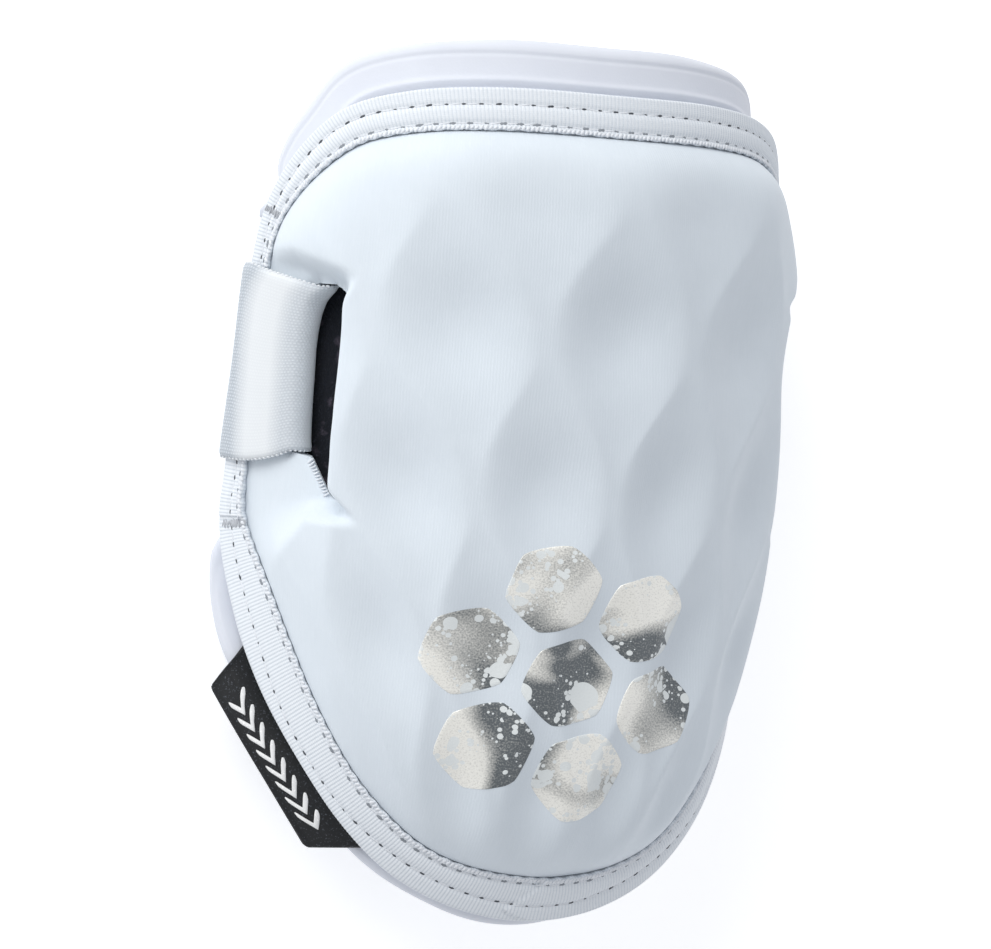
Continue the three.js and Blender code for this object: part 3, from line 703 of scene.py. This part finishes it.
def makeBinding(material):
    b = bindingSizes
    count = int(round(rimLength / b["ribPitch"])) * b["samplesPerRib"]
    rs, ry, outS, outY, length = rimLoop(count)
    run = np.linspace(0, length, count, endpoint=False)
    width = tapeWidth(ry) - b["scallop"] * np.sin(np.pi * run / b["scallopPitch"]) ** 2
    rib = b["ribHeight"] * (0.5 + 0.5 * np.cos(2 * np.pi * np.arange(count) / b["samplesPerRib"]))
    low = padSizes["flangeInner"] - pattern["clearance"]
    high = padSizes["flangeOuter"] + pattern["clearance"]
    wall, foldRun = b["thickness"], b["foldRun"]
    lines = []  # depth in from the rim, height over the seat, place across the unfolded tape

    def addLine(*values):
        lines.append([np.broadcast_to(value, (count,)) for value in values])

    addLine(width, high, width)
    for share in (1.0, *np.linspace(*b["frontShares"])):
        depth = width * share
        swell = rib * (1 + b["edgeRib"] * ease(1 - (width - depth) / b["innerRow"]))
        drop = b["frontEdgeDrop"] if share == 1.0 else 0.0
        addLine(depth, frontOfTape(depth, ry, run) + swell - drop, depth)
    centre, half = (low + high) / 2, (high - low) / 2 + wall
    outRib, upRib = b["foldRib"]
    for angle in np.radians(np.linspace(b["foldAngle"], -b["foldAngle"], b["foldLines"])):
        out = (wall + rib * outRib) * np.cos(angle) ** b["foldPower"]
        addLine(-out, centre + (half + rib * upRib) * np.sin(angle), -angle * half)
    for share in b["backShares"]:
        addLine(width * share, low - wall, -foldRun - width * share)
    addLine(width, low, -foldRun - width)
    addLine(0.0, low, -foldRun)
    addLine(0.0, high, 0.0)
    depths, heights, unfolded = np.array(lines).transpose(1, 2, 0)
    s, y = rs[:, None] - outS[:, None] * depths, ry[:, None] - outY[:, None] * depths
    points = seat(s, y, heights).reshape(-1, 3)
    flat = np.stack([np.repeat(run, len(lines)), unfolded.ravel()], -1)
    return newPiece("tapeBinding", points, shellFaces(count, len(lines), True), flat, material)


# Stitches: two rows through the tape, thread on top and a bead of painted shade at each needle hole, one at
# each end
stitchSizes = {
    "pitch": 3.3, "loopPitch": 0.92, "loopInset": 0.5, "samples": 40,
    "thread": {"Length": 2.4, "Width": 0.3, "Height": 0.22, "Jitter": 0.08, "Lean": 0.2},
    "outerHoleShade": {"Length": 1.0, "Width": 0.42, "Height": 0.16, "Jitter": 0.35, "Lean": 0.2},
    "innerHoleShade": {"Length": 1.3, "Width": 0.6, "Height": 0.16, "Jitter": 0.35, "Lean": 0.2},
    "loop": {"Length": 1.15, "Width": 0.62, "Height": 0.5, "Jitter": 0.15, "Lean": 0.2, "Turn": 0.85},
}


def seamPlaces(inset, pitch, between=False):  # points, directions and normals along a row in from the rim
    count = int(round(rimLength / pitch))
    dense = count * stitchSizes["samples"]
    rs, ry, outS, outY, length = rimLoop(dense)
    depth = inset(ry)
    run = np.linspace(0, length, dense, endpoint=False)
    s, y = rs - outS * depth, ry - outY * depth
    line = seat(s, y, frontOfTape(depth, ry, run) + bindingSizes["ribHeight"])
    normal = seat(s, y, 1.0) - seat(s, y, 0.0)
    halves, _ = evenly(np.hstack([line, normal]), count * 2, True)
    places = halves[int(between)::2]
    ahead = np.roll(places[:, :3], -1, 0) - np.roll(places[:, :3], 1, 0)
    return places[:, :3], ahead, places[:, 3:]


def makeStitches(thread, outerHoleShade, innerHoleShade):
    t = stitchSizes
    made = []
    for name, row, shade, holeShadeSizes, seed in (("Outer", outerSeam, outerHoleShade, t["outerHoleShade"], 3),
                                         ("Inner", innerSeam, innerHoleShade, t["innerHoleShade"], 5)):
        made.append(layBeads("stitches" + name, seamPlaces(row, t["pitch"]), thread, t["thread"], seed))
        # beads of painted shade at the needle holes
        made.append(layBeads("needleHoleShadows" + name, seamPlaces(row, t["pitch"], True), shade, holeShadeSizes, seed + 1))
    return made


def makeEdgeLoops(material):  # the looped selvedge along the tape's inner edge
    t = stitchSizes
    places = seamPlaces(lambda rimY: tapeWidth(rimY) - t["loopInset"], t["loopPitch"])
    return layBeads("tapeEdgeLoops", places, material, t["loop"], 21)


# Inner pad: soft liner, rolled at its edge, with a channel, a ridge and a channel along it outside the tape
innerSizes = {
    "segments": 420, "thickness": 4.5, "faceRings": 34, "innermost": 0.97, "outermost": 0.02,
    "edgeAngles": (80, -90, 13), "bandRings": 40, "band": 13.0,
    "reach": [  # y, out past the rim, more on the right, curl of the edge
        (-82, 5.2, 0, 0), (-78, 4.4, 0, 0), (-66, 5.4, 0, 0), (-48, 5.4, 0, 0.3), (-40, 6.2, 0, 3.0),
        (-34, 7.0, 0, 4.6), (-27, 7.2, 0, 5.0), (-20, 6.2, 0, 5.0), (-12, 4.0, 0, 4.0), (-6, 1.8, 0, 1.2),
        (-1, -1.5, 0, 0), (40, -1.5, 0, 0), (43.6, 0.3, 0, 0), (45.8, 4.6, 0, 4.6), (48.4, 4.6, 0, 4.6),
        (51, 4.0, 0, 0), (54, 7.6, 0, 0), (58, 8.5, 0.5, 0), (64, 8.7, 1.2, 0), (69, 10.5, 1.0, 0),
        (73.5, 10.9, 0, 0),
    ],
    "drop": 3.4, "dropMiddle": 18, "dropStart": 34, "dropEase": 8, "dropReach": 26, "dropFade": 11,
    "channels": [  # in from the edge, depth, half width
        (2.7, 0.22, 0.36), (7.7, -0.35, 0.55), (9.2, 0.45, 0.45),
    ],
    "channelEase": 1.2, "curlEase": 3.2,
}


def curlShare(s, y):  # share of a curl that a point takes, none at the tape and all of it a little outside
    depth, _ = nearRim(s, y)
    return ease((-depth - bindingSizes["thickness"] - pattern["clearance"]) / innerSizes["curlEase"])


def sink(s, y):  # how far the liner drops back to make room for the strap
    p = innerSizes
    across = ease((np.abs(s) - p["dropStart"]) / p["dropEase"])
    reach = np.abs(y - p["dropMiddle"]) - p["dropReach"]
    return p["drop"] * across * (1 - ease(reach / p["dropFade"]))


def makeInnerPad(material):
    p = innerSizes
    rs, ry, outS, outY, _ = rimLoop(p["segments"])
    reachOut = along(p["reach"], ry, 1) + np.where(rs > 0, along(p["reach"], ry, 2), 0)
    curl = np.maximum(along(p["reach"], ry, 3), 0)
    middle, half = pattern["middle"], p["thickness"] / 2
    rings, flat = [], []

    def addRing(depth, shrink, h, channelled=False):
        reach = reachOut - depth
        s = (rs + outS * reach) * (1 - shrink)
        y = middle + (ry + outY * reach - middle) * (1 - shrink)
        if channelled:
            for place, deep, wide in p["channels"]:
                h = h - deep * math.exp(-((depth - place) / wide) ** 2) * ease(reach / p["channelEase"])
        point = seat(s, y, h - pattern["clearance"] - sink(s, y) + curl * curlShare(s, y))
        point[:, 2] = np.maximum(point[:, 2], 0)
        rings.append(point)
        flat.append(np.stack([s, y], -1))

    for shrink in np.linspace(p["innermost"], p["outermost"], p["faceRings"]):
        addRing(p["band"], shrink, 0.0)
    for depth in np.linspace(p["band"], half, p["bandRings"]):
        addRing(depth, 0, 0.0, True)
    for angle in np.radians(np.linspace(*p["edgeAngles"])):
        addRing(half * (1 - math.cos(angle)), 0, half * math.sin(angle) - half)
    for shrink in np.linspace(p["outermost"], p["innermost"], p["faceRings"]):
        addRing(half, shrink, -p["thickness"])
    poles = [seat(0.0, middle, -pattern["clearance"] - drop)[None] for drop in (0.0, p["thickness"])]
    return newPiece("innerPad", np.vstack([*rings, *poles]), shellFaces(len(rings), p["segments"]),
                    np.vstack([*flat, [[0, middle]] * 2]), material)


# Strap: woven elastic from behind one bar, over the rims and across the back to the other
strapSizes = {
    "thickness": 1.2, "middle": 20, "width": 37.4, "slotMiddle": 19.65, "slotWidth": 31.5, "sag": 1.0,
    "slotLine": [(2, 54.9), (6, 56), (19, 56.4), (26, 56.3), (32, 55), (35.4, 52.2)],  # y, s
    "columns": 40, "steps": 420, "edge": 0.7, "edgeFloor": 0.12,
    "rimSide": (30, 72),  # the rim's side lies past this s and below this y
    "way": [  # measured from the slot (0) or the rim (1), s from there, h
        (0, 5.2, -1.2), (0, 3, -1.2), (0, 1.1, -0.8), (0, 0.2, 0.4), (0, 0, 2.0), (0, 0.3, 3.4),
        (0, 1.3, 4.7), (0.2, 1.0, 5.3), (0.5, 0.4, 5.65), (0.8, 0, 5.75), (1, -1, 5.8), (1, 0.5, 5.6),
        (1, 1.4, 4.8), (1, 1.75, 3.6), (1, 1.75, 2.0), (1, 1.75, 0.4),
    ],
    "back": [(48, 1.5), (43, 0.6), (36, 0), (18, 0)],  # x, lift off the floor
    "teethPitch": 0.95,
    "tooth": {"Length": 0.8, "Width": 0.5, "Height": 0.744, "Jitter": 0.15, "Lean": 0.3},
}


def sideOfRim(y):  # s of the right rim
    s, ry = fineRim[0], fineRim[1]
    right = (s > strapSizes["rimSide"][0]) & (ry < strapSizes["rimSide"][1])
    order = np.argsort(ry[right])
    return np.interp(y, ry[right][order], s[right][order])


def strapLine(across):  # middle line of the strap at a share of its width, and its length
    p = strapSizes
    onRim, inSlot = p["middle"] + across * p["width"], p["slotMiddle"] + across * p["slotWidth"]
    front = []
    for part, s, h in p["way"]:
        y = inSlot + (onRim - inSlot) * part - p["sag"] * 4 * part * (1 - part) * (0.5 - across)
        slotLine = along(p["slotLine"], y)
        front.append(seat(slotLine + (sideOfRim(y) - slotLine) * part + s, y, h))
    back = [np.array([x, onRim + pattern["lengthwise"], p["thickness"] / 2 + lift]) for x, lift in p["back"]]
    right = np.array(front + back)
    left = right[::-1] * [-1, 1, 1]
    return evenly(throughPoints(np.vstack([right, left]), closed=False, perSpan=30), p["steps"], False)


def makeStrap(material):
    p = strapSizes
    shares = np.linspace(-0.5, 0.5, p["columns"])
    lines = np.array([strapLine(share)[0] for share in shares])
    length = strapLine(0.0)[1]
    run = np.gradient(lines, axis=1)
    normal = np.stack([run[..., 2], np.zeros(run.shape[:2]), -run[..., 0]], -1)
    normal /= np.linalg.norm(normal, axis=-1, keepdims=True)
    fromEdge = np.clip((0.5 - np.abs(shares)) * p["width"] / p["edge"], p["edgeFloor"], 1)
    half = (p["thickness"] / 2 * np.sqrt(1 - (1 - fromEdge) ** 2))[:, None, None]
    sections = np.concatenate([lines + normal * half, (lines - normal * half)[::-1]])
    sections[..., 2] = np.maximum(sections[..., 2], 0)
    across = np.concatenate([shares, shares[::-1]]) * p["width"]
    runs = np.linspace(0, length, p["steps"])
    flat = np.stack([np.repeat(runs, len(across)), np.tile(across, p["steps"])], -1)
    strap = newTube("elasticStrap", sections.transpose(1, 0, 2), flat, material)
    places, ahead, out = [], [], []
    for column in (0, -1):
        row, _ = evenly(np.hstack([lines[column], normal[column]]), int(length / p["teethPitch"]), False)
        places.extend(row[:, :3])
        ahead.extend(np.gradient(row[:, :3], axis=0))
        out.extend(row[:, 3:])
    return strap, layBeads("strapSelvedge", (places, ahead, out), material, p["tooth"], 11), length


# Loop patches: black pile behind each slot
patchSizes = {
    "inner": 46, "outer": 60.5, "low": -7, "high": 40, "top": -2.3, "thickness": 0.7,
    "rows": 60, "columns": 26, "rough": 0.12,
    "waves": [(5.1, 2.3), (-1.9, 4.7)],  # two crossing waves, radians per mm of s and of y
}


def makePatch(name, side, material):
    p = patchSizes
    s, y = np.meshgrid(np.linspace(p["inner"], p["outer"], p["columns"]) * side,
                       np.linspace(p["low"], p["high"], p["rows"]))
    one, other = (np.sin(s * perS + y * perY) for perS, perY in p["waves"])
    rough = p["rough"] * one * other
    top, under = seat(s, y, p["top"] + rough), seat(s, y, p["top"] - p["thickness"])
    flat = np.stack([s, y], -1)
    flat = np.concatenate([flat, flat[:, ::-1]], 1).reshape(-1, 2)
    return newTube(name, np.concatenate([top, under[:, ::-1]], 1), flat, material)


# Label: a rubber tab sewn under the tape, with a raised rim and a row of raised chevrons
labelSizes = {
    "rootHigh": -32.4, "rootLow": -70, "outer": [(68.7, -42.9), (45.0, -72.0)], "root": 1.1,
    "length": 47, "depth": 9, "lift": 4.6, "low": 0.7, "thickness": 1.3, "rows": 90, "columns": 26,
    "rim": 0.9, "rimHeight": 0.22, "rimEase": 0.25, "edgeRound": 0.45, "sharpAngle": 60,
    "corner": 1.4, "cornerCut": 0.07, "trim": 0.0615, "trimFrom": 0.05, "trimEase": 0.34, "trimPower": 6,
    "bars": 8, "barFrom": 0.15, "barTo": 0.78, "barLow": 0.27, "barHigh": 0.77, "barBend": 0.085,
    "barWidth": 0.04, "barHeight": 0.3, "barSink": 0.1, "barEnd": 0.02, "barEndPower": 10,
    "barRows": 17, "barSides": 10,
}


def labelFlat(u, v):  # u along the tab from its upper end, v from the rim to the outer edge
    p = labelSizes
    u = u + p["trim"] * (1 - u) ** p["trimPower"] * (1 - v) * ease((v - p["trimFrom"]) / p["trimEase"])
    rs, ry, outS, outY, _ = fineRim
    root = (rs > 0) & (ry < p["rootHigh"]) & (ry > p["rootLow"])
    line = np.stack([rs + outS * p["root"], ry + outY * p["root"]], -1)[root]
    line = line[np.argsort(-line[:, 1])]
    share = np.linspace(0, 1, len(line))
    inner = np.stack([np.interp(u, share, line[:, k]) for k in (0, 1)], -1)
    high, low = np.array(p["outer"])
    outer = high + (low - high) * np.asarray(u)[..., None]
    flat = inner + (outer - inner) * np.asarray(v)[..., None]
    return -flat[..., 0], flat[..., 1]


def labelPoint(u, v, h):
    s, y = labelFlat(u, v)
    point = seat(s, y, h + labelSizes["lift"] * (1 - np.asarray(u)) * curlShare(s, y))
    point[..., 2] = np.maximum(point[..., 2], h - labelSizes["low"])
    return point


def makeLabel(material, barMaterial):
    p = labelSizes
    u, v = np.meshgrid(np.linspace(0, 1, p["rows"]), np.linspace(0, 1, p["columns"]), indexing="ij")
    fromEnd = np.minimum(u, 1 - u) * p["length"]
    near = np.minimum(fromEnd, (1 - v) * p["depth"])
    v = v * (1 - p["cornerCut"] * np.clip(1 - fromEnd / p["corner"], 0, 1) ** 2 * v)
    face = p["low"] + p["thickness"]
    rim = p["rimHeight"] * (1 - ease((near - p["rim"]) / p["rimEase"]))
    rounded = p["edgeRound"] * (1 - np.clip(near / p["edgeRound"], 0, 1)) ** 2
    top, under = labelPoint(u, v, face + rim - rounded), labelPoint(u, v, np.full(u.shape, p["low"]))
    tab = newTube("labelTab", np.concatenate([top, under[:, ::-1]], 1), None, material)
    tab.data.set_sharp_from_angle(angle=math.radians(p["sharpAngle"]))
    angle = np.linspace(0, math.pi, p["barSides"])
    shells = []
    for middle in np.linspace(p["barFrom"], p["barTo"], p["bars"]):
        rows = []
        for t in np.linspace(0, 1, p["barRows"]):
            fromBend = abs(2 * t - 1)
            swell = math.sqrt(max(1 - fromBend ** p["barEndPower"], p["barEnd"]))
            barU = middle + p["barBend"] * (1 - fromBend) + p["barWidth"] / 2 * np.cos(angle) * swell
            barV = np.full(len(angle), p["barLow"] + (p["barHigh"] - p["barLow"]) * t)
            height = (p["barHeight"] + p["barSink"]) * np.sin(angle) ** 0.5 * swell
            rows.append(labelPoint(barU, barV, face - p["barSink"] + height))
        shells.append(capped(rows))
    return tab, newPiece("labelBars", *joined(shells), None, barMaterial)


# Foil print: a patch of honeycomb cells pressed on the lower pad
foilSizes = {
    "centre": (-4.0, -35.0), "cell": 9.0, "gap": 2.3, "turn": -16,
    "cornerRadius": 8.46, "cornerSharpness": 2.0, "proud": 0.1, "rimProud": 0.02, "sunk": -0.25,
    "segments": 96, "rings": 16, "innermost": 0.06, "rim": 0.985, "under": 0.5,  # shares of the radius
    "rows": [(1, 2), (0, 3), (-1, 2)],  # row, cells in it
}


def makeFoilPrint(material):
    p = foilSizes
    angle = np.linspace(0, 2 * np.pi, p["segments"], endpoint=False)
    hexagon = p["cell"] * math.cos(math.pi / 6) / np.cos(np.mod(angle, np.pi / 3) - np.pi / 6)
    sharp = p["cornerSharpness"]
    radius = -np.log(np.exp(-sharp * hexagon) + math.exp(-sharp * p["cornerRadius"])) / sharp
    spokeX, spokeY = radius * np.cos(angle + math.pi / 6), radius * np.sin(angle + math.pi / 6)
    pitch = p["cell"] * math.sqrt(3) + p["gap"]
    turn = math.radians(p["turn"])
    rings = [(share, p["proud"]) for share in np.linspace(p["innermost"], p["rim"], p["rings"])]
    rings += [(1.0, p["rimProud"]), (1.0, p["sunk"]), (p["under"], p["sunk"])]
    shells, flat = [], []

    def pressed(x, y, lift):  # points of the print on the pad's front
        s = p["centre"][0] + x * math.cos(turn) - y * math.sin(turn)
        t = p["centre"][1] + x * math.sin(turn) + y * math.cos(turn)
        flat.append(np.stack([s, t], -1))
        return seat(s, t, frontHeight(s, t) + lift)

    for row, cells in p["rows"]:
        for i in range(cells):
            x, y = (i - (cells - 1) / 2) * pitch, row * pitch * math.sqrt(3) / 2
            points = [pressed(x + spokeX * share, y + spokeY * share, lift) for share, lift in rings]
            points += [pressed(np.array([x]), np.array([y]), lift) for lift in (p["proud"], p["sunk"])]
            shells.append((np.vstack(points), shellFaces(len(rings), p["segments"])))
    return newPiece("foilPrint", *joined(shells), np.vstack(flat), material)


# Overlock: threads round the bar's cut edge, from the strap's lower corner to the slot's tip
overlockSizes = {
    "from": (52.9, 2.4), "to": (49.1, -3.7), "count": 12, "inset": 0.35, "sink": 0.1,
    "thread": {"Length": 1.5, "Width": 0.42, "Height": 0.5, "Jitter": 0.2, "Lean": 0.3},
}


def makeOverlock(thread):
    p = overlockSizes
    start, end = np.array(p["from"]), np.array(p["to"])
    ahead = (end - start) / np.linalg.norm(end - start)
    inward = np.array([-ahead[1], ahead[0]])
    places = []
    for share in np.linspace(0, 1, p["count"]):
        s, y = start + (end - start) * share + inward * p["inset"]
        h = frontHeight(np.array([s]), np.array([y]))[0] - p["sink"]
        places += [stand(s * side, y, h, inward[0] * side, inward[1]) for side in (1, -1)]
    return layBeads("barOverlock", zip(*places), thread, p["thread"], 23)


# Bar tacks: short dense rows of thread across the tape on either side of the strap
tackSizes = {
    "places": [(49.6, 0.1, 3.4), (-11.6, 0.9, 7.0)],  # y of the rim, first and last thread in from it
    "sideFrom": 40, "threadPitch": 0.36,
    "thread": {"Length": 1.7, "Width": 0.42, "Height": 0.34, "Jitter": 0.25, "Lean": 0.4},
}


def makeBarTacks(thread):
    p = tackSizes
    rs, ry, outS, outY, length = fineRim
    places = []
    for y0, first, last in p["places"]:
        for side in (1, -1):
            near = int(np.where(rs * side > p["sideFrom"], np.abs(ry - y0), np.inf).argmin())
            for depth in np.arange(first, last, p["threadPitch"]):
                s, y = rs[near] - outS[near] * depth, ry[near] - outY[near] * depth
                h = frontOfTape(depth, ry[near], near / len(rs) * length) + bindingSizes["ribHeight"]
                places.append(stand(s, y, h, -outY[near], outS[near]))
    return layBeads("barTacks", zip(*places), thread, p["thread"], 17)


# Camera at the photograph's angle: turned to the left of the dome, image up along the arm
cameraSizes = {
    "turn": 27.5, "tip": 2.65, "roll": 4.04, "distance": 900.0, "target": (0.0, -3.97, 27.4),
    "pixelsPerMm": 5.16, "imageWidth": 991, "imageHeight": 949, "targetPixel": (541.0, 509.4),
    "sensor": 36.0, "clip": (0.05, 20),
}


def makeCamera():
    p = cameraSizes
    turn, tip, roll = (math.radians(p[k]) for k in ("turn", "tip", "roll"))
    back = Vector((-math.sin(turn) * math.cos(tip), math.sin(tip), math.cos(turn) * math.cos(tip)))
    right = Vector((0, 1, 0)).cross(back).normalized()
    up = back.cross(right)
    right, up = right * math.cos(roll) + up * math.sin(roll), up * math.cos(roll) - right * math.sin(roll)
    aside = (p["imageWidth"] / 2 - p["targetPixel"][0]) / p["pixelsPerMm"]
    above = (p["targetPixel"][1] - p["imageHeight"] / 2) / p["pixelsPerMm"]
    place = (Vector(p["target"]) + right * aside + up * above + back * p["distance"]) * mm
    data = bpy.data.cameras.new("camera")
    data.sensor_width = p["sensor"]
    data.lens = p["pixelsPerMm"] * p["distance"] * p["sensor"] / p["imageWidth"]
    data.clip_start, data.clip_end = p["clip"]
    camera = placeObject("camera", data)
    camera.matrix_world = Matrix.Translation(place) @ Matrix((right, up, back)).transposed().to_4x4()
    bpy.context.scene.camera = camera


# Studio: pale paper floor, one large soft key from the upper left, weak fill
lightSizes = {
    "key": {"place": (-0.75, 0.85, 0.54), "size": 0.8, "power": 9.9, "colour": "#fffefb"},
    "fill": {"place": (0.9, -0.2, 0.8), "size": 0.9, "power": 0.9, "colour": "#f2f5fb"},
    "world": {"colour": "#f6f7fa", "strength": 0.63},
    "floor": {"size": 6.0, "drop": 0.0003, "colour": "#f6f7f8", "glow": 0.4},
    "aim": (0, 0, 0.02),
}


def makeStudio():
    p = lightSizes
    for name in ("key", "fill"):
        data = bpy.data.lights.new(name, "AREA")
        data.size, data.energy = p[name]["size"], p[name]["power"]
        data.color = linear(p[name]["colour"])[:3]
        lamp = placeObject(name, data)
        lamp.location = p[name]["place"]
        lamp.rotation_euler = (Vector(p["aim"]) - lamp.location).to_track_quat("-Z", "Y").to_euler()
    world = bpy.data.worlds.new("studio")
    world.use_nodes = True
    sky = world.node_tree.nodes["Background"]
    sky.inputs["Color"].default_value = linear(p["world"]["colour"])
    sky.inputs["Strength"].default_value = p["world"]["strength"]
    bpy.context.scene.world = world
    # Uncoated paper, matt, with a glow that lifts it to the backdrop's white
    paper, _ = newMaterial(
        "paperFloor", Roughness=0.9, Specular_IOR_Level=0.1, Base_Color=linear(p["floor"]["colour"]),
        Emission_Color=linear("#ffffff"), Emission_Strength=p["floor"]["glow"])
    half = p["floor"]["size"] / 2
    mesh = bpy.data.meshes.new("floor")
    corners = [(-half, -half, 0), (half, -half, 0), (half, half, 0), (-half, half, 0)]
    mesh.from_pydata(corners, [], [(0, 1, 2, 3)])
    mesh.materials.append(paper)
    floor = placeObject("floor", mesh)
    floor.location = (0, 0, -p["floor"]["drop"])
    bpy.context.scene.view_settings.view_transform = "Standard"
    bpy.context.scene.view_settings.look = "None"


makeCamera()
makeStudio()
print("camera and studio ready")

knit, grosgrain, tricot = makePolyesterKnit(), makeGrosgrain(), makeTricot()
elastic = makeElastic(strapLine(0.0)[1])
loopPile, foil = makeLoopPile(), makeFoil()
blackRubber = makeRubber("mouldedRubber", "#121519", "#4a4f57", 0.6)
whiteRubber = makeRubber("whiteMouldedRubber", "#f3f4f5", "#ffffff", 0.55)
whiteThread = makeThread("polyesterThread", "#e6eaf0")
greyThread = makeThread("greyTackThread", "#b9bdc4")
# painted shade for the needle holes, dark on the outer row and grey on the inner
paintedHoleShade = makeThread("needleHoleShade", "#464a52")
paintedPaleHoleShade = makeThread("paleHoleShade", "#8d939b")
print("materials ready")

outerPad = keep(makeOuterPad(knit), "knit_cover", "outer_pad")
print("outer pad", len(outerPad.data.polygons))
binding = keep(makeBinding(grosgrain), "ribbed_tape", "binding")
print("binding", len(binding.data.polygons))
for row in makeStitches(whiteThread, paintedHoleShade, paintedPaleHoleShade):
    keep(row, "ribbed_tape")
keep(makeEdgeLoops(whiteThread), "ribbed_tape")
keep(makeBarTacks(greyThread), "ribbed_tape")
keep(makeOverlock(whiteThread), "knit_cover")
print("stitches")
innerPad = keep(makeInnerPad(tricot), "soft_knit", "inner_pad")
print("inner pad", len(innerPad.data.polygons))
strap, selvedge, strapLength = makeStrap(elastic)
keep(strap, "elastic", "strap")
keep(selvedge, "elastic")
print("strap", round(strapLength), "mm")
for name, side, node in (("loopPatchLeft", -1, "loop_patch_left"),
                         ("loopPatchRight", 1, "loop_patch_right")):
    keep(makePatch(name, side, loopPile), "loop_fabric", node)
labelTab, labelBars = makeLabel(blackRubber, whiteRubber)
keep(labelTab, "label_rubber", "label_tab")
keep(labelBars, "label_rubber")
keep(makeFoilPrint(foil), "knit_cover")
print("patches, label and foil")
